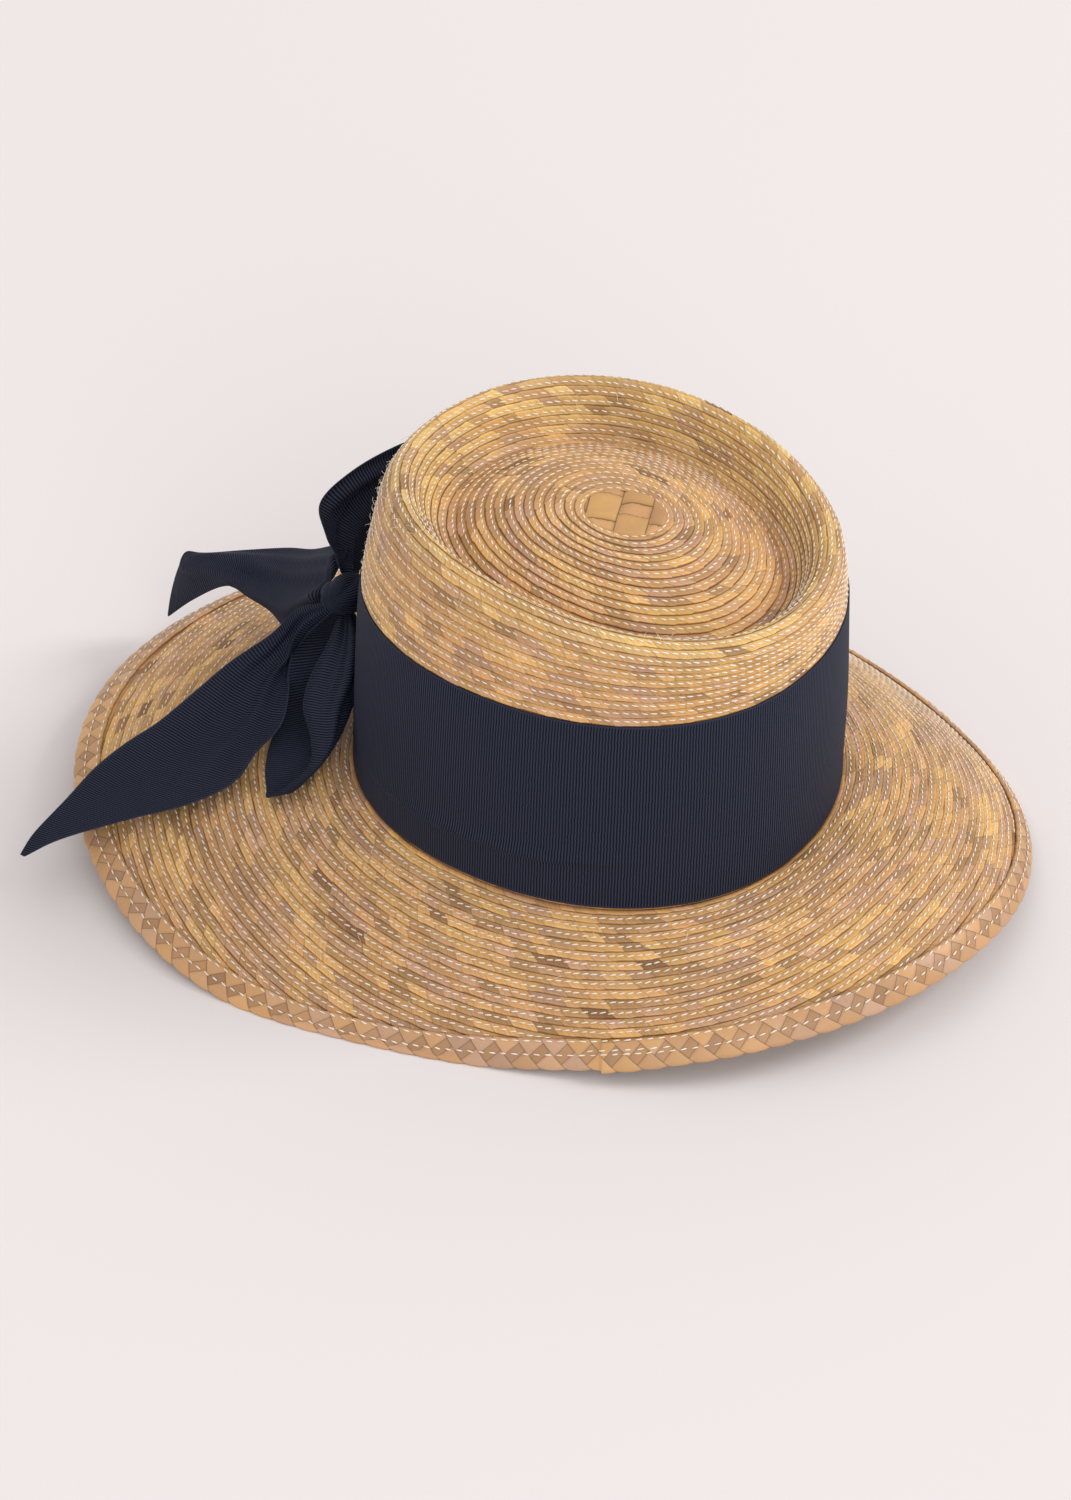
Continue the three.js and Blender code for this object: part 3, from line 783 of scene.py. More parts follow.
class HAT_OT_crown(bpy.types.Operator):
    """The crown: overlapping rows from the button over the rim and down the wall."""

    bl_idname = "hat.crown"
    bl_label = "Crown rows"

    def execute(self, context):
        s = settings()
        places, lengths = crown_lengths()
        total = lengths[-1]
        heading = headings_for(s.crown_steps)[:, None]
        last = int(total / s.row_pitch)
        across = [(row, share, lift) for row in range(last + 1) for share, lift in ROW_PROFILE]
        outer = []
        for row, share, lift in across:
            length = (row + share) * s.row_pitch
            place = float(np.interp(length, lengths, places))
            hidden = place < HIDDEN_BELOW
            if length <= total and not (hidden and share > 0):
                outer.append((row + share, place, HIDDEN_LIFT if hidden else lift, row, share, 0.0))
        outer.append((total / s.row_pitch, 0.0, HIDDEN_LIFT, last, 0.0, -STRAW_THICKNESS))
        across = [(row, share, lift) for row in range(last + 1) for share, lift in ROW_PROFILE_UNDER]
        inner = []
        for row, share, lift in across:
            length = (row + share) * s.row_pitch
            if length < total:
                place = float(np.interp(length, lengths, places))
                inner.append((row + share, place, lift - CROWN_UNDER, row, 0.0, 0.0))
        inner.append((total / s.row_pitch, 0.0, -1.7, last, 0.0, -STRAW_THICKNESS))
        rings = np.array(outer + inner[::-1] + outer[:1])
        count, place, lift, row, share, drop = (rings[:, k][None, :] for k in range(6))
        middle = np.interp((row + 0.5) * s.row_pitch, lengths, places)
        along = lengths_along(crown_point(heading, middle))
        ripples = Ripples(11)
        slope = np.gradient(lengths, places)
        per_mm = 1 / np.interp(place, places[::-1], slope[::-1])
        edge_part = np.where(share > 0.8, 1.0, 0.0)
        tooth = ripples.teeth(row.astype(int), along, TOOTH_LENGTH)
        visible = np.where(place > HIDDEN_BELOW, 1.0, 0.0)
        shift = edge_part * (TOOTH_OUT - CROWN_TOOTH_IN * tooth)
        shift = shift + visible * 0.15 * ripples.wave(row.astype(int) + 9, along)
        swell = CROWN_SWELL * ripples.wave(row.astype(int) + 40, along)
        relief = 1 + swell + 0.5 * np.clip(place - 6.5, 0, 1)
        raised = lift * np.where(lift > 0, relief, 1)
        shifted = np.clip(place + shift * per_mm, 0, BUTTON_PLACE)
        points = lifted_crown(heading, shifted, raised)
        points[..., 2] += drop
        mesh = laid_grid("crown_rows", points, along, np.broadcast_to(count, along.shape))
        join_borders(mesh, True)
        rim_row = float(np.interp(-YELLOW_PLACE, -places, lengths)) / s.row_pitch
        add_piece("crown_rows", mesh, rows_material("straw_crown", rim_row, 5.5), "straw", "crown")
        return {"FINISHED"}


def edge_lap(heading):
    """How far the edge braid's end stands over its beginning, from 0 to 1."""
    turn = np.degrees(heading) % 360
    return np.where(turn <= EDGE_JOINT, np.clip((turn - EDGE_JOINT + LAP_LENGTH) / LAP_RISE, 0, 1), 0.0)


def weave_height(along, across, diagonal):
    """How high a plait of leaf stands, from 0 in its gaps to 1 on the strands that lie over."""
    leaning, crossing = (along - across) / diagonal, (along + across) / diagonal
    strand = np.floor(leaning)
    phase = ((crossing + strand) / 2 % 1.0) * 2
    over = phase < OVER_SHARE
    beside = 2 * (leaning - strand) - 1
    side = np.where(over, beside, 2 * (phase - OVER_SHARE) / (2 - OVER_SHARE) - 1)
    run = np.where(over, 2 * phase / OVER_SHARE - 1, beside)
    return np.where(over, 1.0, 0.7) - 0.45 * side**4 - 0.4 * run**6


class HAT_OT_edge(bpy.types.Operator):
    """The edge braid: a wide flat plait with folded, scalloped edges, kept clear of the floor."""

    bl_idname = "hat.edge"
    bl_label = "Edge braid"

    def execute(self, context):
        s = settings()
        heading = headings_for(s.edge_steps)[:, None]
        inset, lift, relief = (EDGE_PROFILE[:, k][None, :] for k in range(3))
        width = brim_width(heading)
        rim = lengths_along(brim_point(heading, width))
        around = rim[-1, 0]
        strands = round(around / s.edge_strand)
        along = rim * (strands * s.edge_strand / around)
        fold = np.abs(np.sin(math.pi * along / s.edge_strand)) ** 0.55
        bulge = (0.75 * fold - 0.6) * np.clip(1 - inset / 4.5, 0, 1)
        inner_fold = np.abs(np.sin(math.pi * (along / s.edge_strand + 0.5))) ** 0.6
        bulge = bulge - 0.4 * (inner_fold - 0.6) * np.clip((inset - 9.6) / 1.8, 0, 1)
        height = weave_height(along, inset, s.edge_strand)
        upper = lift > -0.7
        lap = edge_lap(heading)
        thick = 0.42 * relief * (height - 0.55)
        distance = width - inset + bulge + LAP_LIFT * lap
        points = lifted_brim(heading, distance, lift + np.where(upper, thick + LAP_LIFT * lap, -0.6 * thick))
        lowest = FLOOR_LEVEL + np.where(lift > -0.5, np.clip(lift + 1.0, 0, 1.6), 0)
        points[..., 2] = np.maximum(points[..., 2], lowest)
        along, across = (np.broadcast_to(part, height.shape) for part in (along, inset))
        mesh = laid_grid("edge_plait", points, along, across)
        join_borders(mesh, True)
        add_piece("edge_plait", mesh, edge_material(), "edge_straw", "edge_braid")
        return {"FINISHED"}


# The button's check: how it is turned and shifted on the crown, and how high it stands and curls.
CHECK_TURN = (0.34, 0.94)
CHECK_SHIFT = (3.0, 6.0)
CHECK_HEIGHT, CHECK_CURL = 1.3, 0.3
BUTTON_MARGIN = 0.8


class HAT_OT_button(bpy.types.Operator):
    """The button: a flat check of palm leaf in the middle of the crown's top."""

    bl_idname = "hat.button"
    bl_label = "Button"

    def execute(self, context):
        sizes = crown_sizes(CROWN_SECTIONS[BUTTON_PLACE])
        heading = headings_for(72)[:, None]
        share = np.concatenate([np.linspace(0, 1, 16), [1.04, 1.02, 0.9, 0.0]])[None, :]
        lift = np.concatenate([np.full(15, 0.35), [0.2, -0.4, -1.6, -1.8, -1.8]])[None, :]
        half_length, half_width = (sizes[name] + BUTTON_MARGIN for name in ("half_length", "half_width"))
        flat = oval_point(heading, half_length * share, half_width * share)
        points = flat + np.array([sizes["right"], sizes["back"], 0])
        x, y = flat[..., 0], flat[..., 1]
        small, large = CHECK_TURN
        turned = (small * x + large * y + CHECK_SHIFT[0], large * x - small * y + CHECK_SHIFT[1])
        curl = np.sin(turned[0] / 2.3 + np.sin(turned[1] / 3.1))
        weave = weave_height(*turned, BUTTON_STRAND) + CHECK_CURL * curl
        points[..., 2] = sizes["height"] + lift + np.where(lift > 0, CHECK_HEIGHT * (weave - 0.7), 0)
        mesh = laid_grid("button_check", points, *turned)
        join_borders(mesh, True)
        add_piece("button_check", mesh, button_material(), "straw")
        return {"FINISHED"}


def lay_along_x(bm):
    upright, lying = Vector((0, 0, 1)), Vector((1, 0, 0))
    bmesh.ops.rotate(bm, verts=bm.verts, cent=(0, 0, 0),
                     matrix=upright.rotation_difference(lying).to_matrix())


def stitch_shape():
    """One stitch: a short rod with rounded ends that dive into the straw."""
    bm = bmesh.new()
    bmesh.ops.create_uvsphere(bm, u_segments=5, v_segments=4, radius=1.0)
    lay_along_x(bm)
    for vertex in bm.verts:
        vertex.co.x = math.copysign(abs(vertex.co.x) ** 0.7, vertex.co.x)
        vertex.co.z -= 0.9 * abs(vertex.co.x) ** 3
    return made_mesh("stitch_shape", bm)


def stitch_places(surface, row_places, pitch, chance):
    """Where the stitches of some rows lie: for each stitch, its heading, place, row and length along the
    row.
    """
    heading = np.linspace(0, 2 * math.pi, 721)
    found = []
    for row, place in row_places:
        length = lengths_along(surface(heading, np.full_like(heading, place), 0.0))
        count = max(3, int(length[-1] / pitch))
        spots = (np.arange(count) + 0.5 + chance.normal(0, 0.045, count)) * length[-1] / count
        at = np.interp(spots, length, heading)
        found.append(np.stack([at, np.full(count, place), np.full(count, row), spots], axis=1))
    return np.concatenate(found)


STITCH_SLANT = 0.17
# The distance out from the crown at which the brim's stitches are split into two pieces.
OUTER_STITCHES = 42
# Seams on the edge braid: distance in from the edge, lift, and the first and last heading in degrees.
EDGE_SEAMS = ((10.4, 2.15, 0, 360), (5.4, 1.65, 0, 360), (6.9, 1.9, 44, 57))


def sew(name, surface, spots, lift, chance, side_shift, slant=STITCH_SLANT):
    """Stitches of one piece at the given headings and places, as one mesh."""
    s = settings()
    heading, place = spots[:, 0], spots[:, 1] + side_shift
    step = 2e-3
    centre = surface(heading, place, lift)
    along = unit(surface(heading + step, place, lift) - surface(heading - step, place, lift))
    out = unit(surface(heading, place, lift + 0.5) - surface(heading, place, lift - 0.5))
    across = np.cross(out, along)
    turn = slant + chance.normal(0, 0.05, len(spots))
    ahead = along * np.cos(turn)[:, None] + across * np.sin(turn)[:, None]
    beside = np.cross(out, ahead)
    axes = np.stack([ahead, beside, out], axis=1)
    half = s.stitch_length / 2 * (1 + chance.normal(0, 0.06, len(spots)))
    thick = s.thread_width / 2
    sizes = np.stack([half, np.full_like(half, thick), np.full_like(half, thick * 0.85)], axis=1)
    return joined_copies(name, stitch_shape(), centre, axes, sizes)


class HAT_OT_stitches(bpy.types.Operator):
    """The stitches: short cream threads along each braid row and the edge braid."""

    bl_idname = "hat.stitches"
    bl_label = "Stitches"

    def execute(self, context):
        chance = np.random.default_rng(5)
        self.sew_brim(settings(), chance)
        self.sew_crown(settings(), chance)
        self.sew_edge(settings(), chance)
        return {"FINISHED"}

    def sew_brim(self, s, chance):
        ripples = Ripples(3)
        widest = float(BRIM_SECTIONS[:, 0].max()) + 4
        row_count = int((widest - FIRST_BRIM_ROW) / s.row_pitch)
        rows = [(row, FIRST_BRIM_ROW + s.row_pitch * (row + s.stitch_share)) for row in range(-1, row_count)]
        rows = [(row, distance) for row, distance in rows if distance > 0.8]
        spots = stitch_places(lifted_brim, rows, s.stitch_pitch, chance)
        limit = brim_width(spots[:, 0]) - EDGE_WIDTH - 0.5
        spots = spots[spots[:, 1] < limit]
        shift = row_sway(ripples, spots[:, 2], spots[:, 3]) + chance.normal(0, 0.1, len(spots))
        far = spots[:, 1] > OUTER_STITCHES
        for name, chosen in (("brim_stitches_inner", ~far), ("brim_stitches_outer", far)):
            mesh = sew(name, lifted_brim, spots[chosen], STITCH_LIFT, chance, shift[chosen])
            add_piece(name, mesh, thread_material(), "straw")

    def sew_crown(self, s, chance):
        places, lengths = crown_lengths()
        rows = []
        for row in range(int(lengths[-1] / s.row_pitch)):
            place = float(np.interp((row + s.stitch_share) * s.row_pitch, lengths, places))
            if place > BAND_TOP + 0.02:
                rows.append((row, place))
        spots = stitch_places(lifted_crown, rows, s.stitch_pitch, chance)
        mesh = sew("crown_stitches", lifted_crown, spots, STITCH_LIFT, chance, 0.0, slant=-STITCH_SLANT)
        add_piece("crown_stitches", mesh, thread_material(), "straw")

    def sew_edge(self, s, chance):
        lines = []
        for inset, lift, first, last in EDGE_SEAMS:
            part = np.radians(np.linspace(first, last, 1441))
            length = lengths_along(lifted_brim(part, brim_width(part) - inset, lift))
            count = int(length[-1] / (s.stitch_pitch * 1.25))
            at = np.interp((np.arange(count) + 0.5) * length[-1] / count, length, part)
            place = brim_width(at) - inset
            lines.append(np.stack([at, place, np.full(count, 0), np.full(count, lift)], axis=1))
        spots = np.concatenate(lines)

        def pressed(heading, distance, lift):
            points = lifted_brim(heading, distance, lift + spots[:, 3] + LAP_LIFT * edge_lap(heading))
            points[:, 2] = np.maximum(points[:, 2], FLOOR_LEVEL + 1.6 + 0.3 * lift)
            return points

        mesh = sew("edge_stitches", pressed, spots, 0.05, chance, 0.0, slant=0.08)
        add_piece("edge_stitches", mesh, thread_material(), "straw")


# Loose fibres: headings in degrees where a third of them stand, places on the wall and all over the crown,
# share of the brim's width, how high they stand, half their length, and half their thickness.
TUFT_HEADINGS = (115, 160)
WALL_PLACES, CROWN_PLACES, BRIM_SHARES = (2.1, 5.5), (2.1, 10.8), (0.1, 0.85)
FIBRE_LIFT = 0.9
FIBRE_HALF_LENGTH, FIBRE_HALF_THICKNESS = (0.8, 2.2), 0.07


class HAT_OT_fibres(bpy.types.Operator):
    """Loose leaf fibres that stand off the straw here and there."""

    bl_idname = "hat.fibres"
    bl_label = "Loose fibres"

    def execute(self, context):
        chance = np.random.default_rng(17)
        count = settings().fibre_count
        heading = chance.uniform(0, 2 * math.pi, count)
        third = count // 3
        heading[:third] = chance.uniform(*(math.radians(turn) for turn in TUFT_HEADINGS), third)
        on_wall, anywhere = chance.uniform(*WALL_PLACES, count), chance.uniform(*CROWN_PLACES, count)
        place = np.where(np.arange(count) < third, on_wall, anywhere)
        on_brim = (np.arange(count) % 3 == 2)[:, None]
        distance = chance.uniform(*BRIM_SHARES, count) * brim_width(heading)
        centre = np.where(on_brim, lifted_brim(heading, distance, FIBRE_LIFT),
                          lifted_crown(heading, place, FIBRE_LIFT))
        out = np.where(on_brim, outward_of(brim_point, heading, np.full(count, 40.0), 1),
                       outward_of(crown_point, heading, place, -1))
        ahead = unit(chance.normal(0, 1, (count, 3)) * (1.0, 1.0, 0.6) + out * 0.5)
        beside = unit(np.cross(out, ahead))
        axes = np.stack([ahead, beside, np.cross(ahead, beside)], axis=1)
        half = chance.uniform(*FIBRE_HALF_LENGTH, count)
        sizes = np.stack([half, np.full(count, FIBRE_HALF_THICKNESS), half * 0.35], axis=1)
        mesh = joined_copies("loose_fibres", fibre_shape(), centre, axes, sizes)
        add_piece("loose_fibres", mesh, thread_material(), "straw")
        return {"FINISHED"}


def fibre_shape():
    """One fibre: a thin bent rod, one unit long to either side."""
    bm = bmesh.new()
    bmesh.ops.create_cone(bm, cap_ends=True, segments=4, radius1=1.0, radius2=1.0, depth=2.0)
    lay_along_x(bm)
    for vertex in bm.verts:
        vertex.co.z *= 0.1
    edges = [edge for edge in bm.edges if abs(edge.verts[0].co.x - edge.verts[1].co.x) > 1]
    bmesh.ops.subdivide_edges(bm, edges=edges, cuts=3)
    for vertex in bm.verts:
        vertex.co.z += 1 - vertex.co.x**2
    bmesh.ops.recalc_face_normals(bm, faces=bm.faces)
    return made_mesh("fibre_shape", bm)


# The band's low crease: headings in degrees where it starts and ends, and over which it rises and fades.
# Then its share of the band's height at heading 0, the degrees in which it would sink by all of it, its
# spread as a share, and its depth. Last, how far the whole band stands off and in, in millimetres.
CREASE_START, CREASE_END = 46, 125
CREASE_RISE, CREASE_FADE = 20, 30
CREASE_HEIGHT, CREASE_SINK = 0.31, 1100
CREASE_SPREAD, CREASE_DEPTH = 0.02, 1.9
BAND_EASE = 0.12


class HAT_OT_band(bpy.types.Operator):
    """The ribbon band: wide grosgrain drawn tight round the crown."""

    bl_idname = "hat.band"
    bl_label = "Ribbon band"

    def execute(self, context):
        heading = headings_for(360)[:, None]
        share = np.linspace(0, 1, BAND_POINTS)[None, :]
        place = BAND_BOTTOM + (BAND_TOP - BAND_BOTTOM) * share
        ease = BAND_EASE * np.sin(3 * heading + 7 * share) * np.sin(math.pi * share)
        turn = np.degrees(heading) % 360
        rising = np.clip((turn - CREASE_START) / CREASE_RISE, 0, 1)
        creased = rising * np.clip((CREASE_END - turn) / CREASE_FADE, 0, 1)
        off = (share - CREASE_HEIGHT + turn / CREASE_SINK) / CREASE_SPREAD
        ease = ease + CREASE_DEPTH * creased * np.exp(-np.where(off > 0, 0.5 * off, off**2))
        outside = lifted_crown(heading, place, FIT_GAP + 0.75 + ease)
        inside = lifted_crown(heading, place, np.full_like(share, FIT_GAP + 0.1))[:, ::-1]
        points = np.concatenate([outside, inside, outside[:, :1]], axis=1)
        middle = outside[:, BAND_POINTS // 2:BAND_POINTS // 2 + 1]
        along = np.repeat(lengths_along(middle), points.shape[1], axis=1)
        across = np.concatenate([share, share[:, ::-1], share[:, :1]], axis=1) * BAND_WIDTH
        mesh = laid_grid("band_grosgrain", points, along, np.broadcast_to(across, along.shape))
        join_borders(mesh, True)
        material = ribbon_material("ribbon_wide", BAND_WIDTH, settings().rib_pitch)
        piece = add_piece("band_grosgrain", mesh, material, "ribbon", "ribbon_band")
        return {"FINISHED"}


KNOT_CENTRE = np.array([-24.1, 102.3, 88.0])
KNOT_HALF = np.array([9.0, 10.6, 9.0])
KNOT_WRAP_HALF = (13.2, 8.2, 7.2)
KNOT_LEAN = -18


def on_knot(x, y, z):
    """A point a tenth of the way in from the knot's round form, in a direction from its middle."""
    direction = np.array([x, y, z]) / math.sqrt(x * x + y * y + z * z)
    outward = unit(direction / KNOT_HALF)
    return tuple(KNOT_CENTRE + direction * KNOT_HALF * 0.9 + outward * 0.1)


# Bow ribbons: one row for each section, with its near edge, middle and far edge.
FRONT_TAIL = (
    (on_knot(-0.7, 0.2, -0.68), on_knot(-0.68, 0.42, -0.6), on_knot(-0.64, 0.62, -0.45)),
    ((-37, 112, 72), (-36, 116, 74), (-33, 121, 78)),
    ((-42, 119, 58), (-43, 121, 61), (-44, 126, 70)),
    ((-51, 112, 52), (-54, 125, 52), (-56, 138, 58)),
    ((-64, 106, 46), (-68, 125, 44), (-70, 145, 49)),
    ((-79, 107, 41), (-84, 128, 39), (-87, 150, 42)),
    ((-95, 105, 38), (-99, 130, 35), (-101, 156, 37)),
    ((-112, 114, 34), (-114, 137, 31), (-115, 160, 32)),
    ((-128, 131, 29), (-130, 145, 28), (-132, 160, 28)),
    ((-149, 148, 25), (-150, 154, 24), (-151, 160, 24)),
    ((-162, 156, 21), (-162, 157, 21), (-162, 158, 21)),
)
BACK_TAIL = (
    (on_knot(-0.25, 0.86, -0.44), on_knot(-0.05, 1, -0.1), on_knot(0.22, 0.93, 0.28)),
    ((-31, 114, 77), (-25, 116, 88), (-11, 113, 97)),
    ((-30, 120, 71), (-22, 120, 84), (-9, 120, 95)),
    ((-28, 132, 59), (-16, 137, 72), (-1, 139, 80)),
    ((-20, 148, 56), (-10, 154, 64), (4, 157, 70)),
    ((-15, 163, 53), (-6, 171, 59), (4, 178, 60)),
    ((-11, 178, 50), (-7, 187, 56), (-1, 197, 53)),
    ((-7, 200, 31), (-7, 203, 44), (-2, 205, 51)),
    ((-4, 219, 11), (-4, 214, 31), (-2, 208, 49)),
)
FAR_LOOP = (
    (on_knot(0.85, 0.3, -0.42), on_knot(0.8, 0.6, 0.1), on_knot(0.5, 0.72, 0.55)),
    ((-12, 107, 85), (-17, 110, 93), (-20, 112, 101)),
    ((-7, 110, 86), (-13, 114, 95), (-19, 117, 107)),
    ((4, 112, 88), (-3, 119, 101), (-14, 123, 117)),
    ((14, 111, 88), (8, 118, 106), (2, 119, 125)),
    ((30, 108, 88), (27, 113, 107), (22, 113, 128)),
    ((46, 103, 88), (46, 106, 106), (42, 106, 127)),
    ((57, 95, 89), (58, 96, 106), (55, 96, 125)),
    ((54, 87.5, 90), (55, 87, 106), (52, 87.5, 123)),
    ((38, 92, 89), (38, 91.8, 105), (37, 91.4, 120)),
    ((16, 96, 88), (16, 96, 98), (15, 96, 108)),
    (on_knot(0.95, -0.3, -0.3), on_knot(1, -0.3, 0.1), on_knot(0.87, -0.3, 0.4)),
)
NEAR_LOOP = (
    (on_knot(-0.1, -0.38, -0.85), on_knot(-0.2, -0.05, -0.9), on_knot(-0.3, 0.25, -0.86)),
    ((-31, 91, 74), (-38, 93, 77), (-37, 103, 72)),
    ((-39, 83, 67), (-51, 86, 71), (-48, 104, 61)),
    ((-51, 80, 60), (-63, 82, 64), (-59, 99, 55)),
    ((-63, 78, 52), (-71, 77, 56), (-68, 88, 50)),
    ((-76, 78, 46), (-79, 77, 48), (-78, 82, 45)),
    ((-86, 83, 38), (-90, 85, 39), (-92, 90, 36)),
    ((-78, 83, 38), (-85, 87, 37), (-89, 94, 37)),
    ((-65, 85, 40), (-74, 92, 39), (-80, 102, 37)),
    ((-51, 90, 42), (-60, 98, 40), (-69, 108, 40)),
    ((-40, 94, 49), (-46, 105, 44), (-57, 111, 45)),
    ((-31, 98, 61), (-37, 109, 56), (-46, 117, 56)),
    ((-27, 102, 72), (-30, 113, 67), (-36, 119, 68)),
    (on_knot(0.02, -0.3, -0.95), on_knot(-0.3, 0.05, -0.94), on_knot(-0.5, 0.3, -0.8)),
)


def ribbon_points(rows, steps, across_steps, pleats=()):
    """Points of a ribbon through its sections, with soft pleats pressed into it.
    A pleat runs from one (place, share across) to another, with a width across and a depth."""
    rows = np.array(rows, float)
    place = np.linspace(0, len(rows) - 1, (len(rows) - 1) * steps + 1)
    share = np.linspace(0, 1, across_steps + 1)[None, :]
    across = share[..., None]
    near, middle, far = (read_open(rows[:, k], place)[:, None, :] for k in range(3))
    points = (near * (1 - across) * (1 - 2 * across) + middle * 4 * across * (1 - across)
              + far * across * (2 * across - 1))
    normal = unit(np.cross(np.gradient(points, axis=0), np.gradient(points, axis=1)))
    for (start, start_share), (end, end_share), width, depth in pleats:
        along = np.clip((place - start) / (end - start), 0, 1)[:, None]
        off = (share - start_share - (end_share - start_share) * along) / width
        shape = np.exp(-np.abs(off) ** 1.5) - 0.45 * np.exp(-((np.abs(off) - 1.7) / 0.9) ** 2)
        points = points + normal * (np.minimum(1, 5 * along) * (1 - along) ** 0.6 * shape * depth)[..., None]
    return points


def add_ribbon(name, rows, pleats, node):
    """One loop or tail of the bow as a ribbon of its own, in place of the model's part, which it hides."""
    width = settings().bow_width
    points = ribbon_points(rows, 8, 16, pleats)
    lengths = lengths_along(points)
    along = np.repeat(lengths.mean(axis=1, keepdims=True), points.shape[1], axis=1)
    across = np.broadcast_to(np.linspace(0, width, points.shape[1])[None, :], along.shape)
    mesh = laid_grid(name, points, along, across)
    join_borders(mesh, False)
    piece = add_piece(name, mesh, ribbon_material("ribbon_bow", width, settings().rib_pitch), "ribbon", node)
    wall = piece.modifiers.new("wall", "SOLIDIFY")
    wall.thickness = settings().ribbon_thickness * MM
    wall.offset = 0.0
    smooth = piece.modifiers.new("smooth", "SUBSURF")
    smooth.levels = smooth.render_levels = 1


# Pleats: place and share across at the start, the same at the end, width across, and depth.
FRONT_TAIL_PLEATS = (
    ((0, 0.45), (6.4, 0.25), 0.08, -4.4),
    ((0, 0.72), (5.6, 0.66), 0.07, 2.6),
    ((0, 0.2), (4.6, 0.06), 0.06, 2.4),
    ((4.2, 0.6), (8.5, 0.75), 0.16, 1.8),
)
BACK_TAIL_PLEATS = (
    ((0, 0.33), (6.2, 0.1), 0.08, -4.4),
    ((0, 0.58), (5.9, 0.42), 0.08, 3.4),
    ((0, 0.82), (5.4, 0.8), 0.06, -3.2),
    ((3.6, 0.65), (7.2, 0.8), 0.12, -1.6),
    ((5.6, 0.0), (8.2, 1.0), 0.06, -1.8),
)
FAR_LOOP_PLEATS = (
    ((0, 0.3), (6.0, 0.42), 0.08, 3.4),
    ((0, 0.58), (5.4, 0.62), 0.06, -3.4),
    ((2.4, 0.88), (7.5, 0.66), 0.06, 4.4),
)
NEAR_LOOP_PLEATS = (
    ((0, 0.32), (4.6, 0.36), 0.08, -3.2),
    ((0, 0.64), (4.2, 0.74), 0.07, 2.8),
    ((2.0, 0.18), (6, 0.3), 0.1, 0.9),
)
BOW_PIECES = (
    ("tail_front_ribbon", FRONT_TAIL, FRONT_TAIL_PLEATS, "bow_tail_front", "laid", ["brim_rows"]),
    ("tail_back_ribbon", BACK_TAIL, BACK_TAIL_PLEATS, "bow_tail_back", "hung", ["knot_wrap"]),
    ("loop_far_ribbon", FAR_LOOP, FAR_LOOP_PLEATS, "bow_loop_far", "hung", ["knot_wrap"]),
    ("loop_near_ribbon", NEAR_LOOP, NEAR_LOOP_PLEATS, "bow_loop_near", "hung", ["knot_wrap"]),
)


class HAT_OT_bow(bpy.types.Operator):
    """The bow: a knot, two loops and two tails of grosgrain ribbon."""

    bl_idname = "hat.bow"
    bl_label = "Bow"

    def execute(self, context):
        knot = self.add_knot()
        for name, rows, pleats, node, held, rests_on in BOW_PIECES:
            add_ribbon(name, rows, pleats, node)
        return {"FINISHED"}

    def add_knot(self):
        turn = np.linspace(0, 2 * math.pi, 121)[:, None]
        rise = np.linspace(-1, 1, 33)[None, :]
        pinch = np.clip(1 - np.abs(0.95 * rise) ** 2.6, 0, 1) ** 0.5
        folds = 0.88 + 0.2 * np.abs(np.cos(2.5 * turn + 1.8 * rise + 0.4)) ** 0.6 * pinch
        long, deep, high = KNOT_WRAP_HALF
        flat = [long * rise * np.ones_like(turn), deep * pinch * folds * np.cos(turn),
                high * pinch * folds * np.sin(turn)]
        lean = math.radians(KNOT_LEAN)
        points = np.stack([flat[0] * math.cos(lean) - flat[2] * math.sin(lean), flat[1],
                           flat[0] * math.sin(lean) + flat[2] * math.cos(lean)], axis=-1) + KNOT_CENTRE
        ends = points.mean(axis=0, keepdims=True)
        ends = [np.repeat(ends[:, k:k + 1], len(points), 0) for k in (0, -1)]
        points = np.concatenate([ends[0], points, ends[1]], axis=1)
        along = np.repeat(lengths_along(points)[:, 17:18], points.shape[1], axis=1)
        across = np.broadcast_to(np.linspace(4, 24, points.shape[1])[None, :], along.shape)
        mesh = laid_grid("knot_wrap", points, along, across)
        join_borders(mesh, True)
        material = ribbon_material("ribbon_bow", settings().bow_width, settings().rib_pitch)
        return add_piece("knot_wrap", mesh, material, "ribbon", "bow_knot")


# Lights: azimuth and elevation in degrees, and size in metres.
LIGHT_DISTANCE = 9.0
LIGHTS = (("key_light", 42.0, 39.0, 3.6), ("front_light", -38.0, 28.0, 6.0))
CAMERA_LENS, CAMERA_SENSOR = 87.7, 36.0
CAMERA_AZIMUTH, CAMERA_ELEVATION, CAMERA_DISTANCE = -54.0, 39.5, 1.4
CAMERA_TARGET = (-31.7, 6.4, 60.0)
FLOOR_HALF_SIZE = 25.0
FLOOR_SPECK = (0.7, 0.68, 0.68, 1)
ROOM_TINT = (1.0, 0.965, 0.955, 1.0)
HAT_MIDDLE = Vector((0, 0, 0.06))


def away_from(azimuth, elevation):
    """The direction from the hat towards a place round it, in degrees."""
    a, e = math.radians(azimuth), math.radians(elevation)
    return Vector((math.sin(a) * math.cos(e), -math.cos(a) * math.cos(e), math.sin(e)))


def place_facing(name, data, target, back, distance):
    """Puts a lamp or the camera a distance back from its target, and turns it to the target."""
    placed = bpy.data.objects.new(name, data)
    bpy.context.scene.collection.objects.link(placed)
    placed.location = target + back * distance
    placed.rotation_mode = "QUATERNION"
    placed.rotation_quaternion = (-back).to_track_quat("-Z", "Y")
    return placed


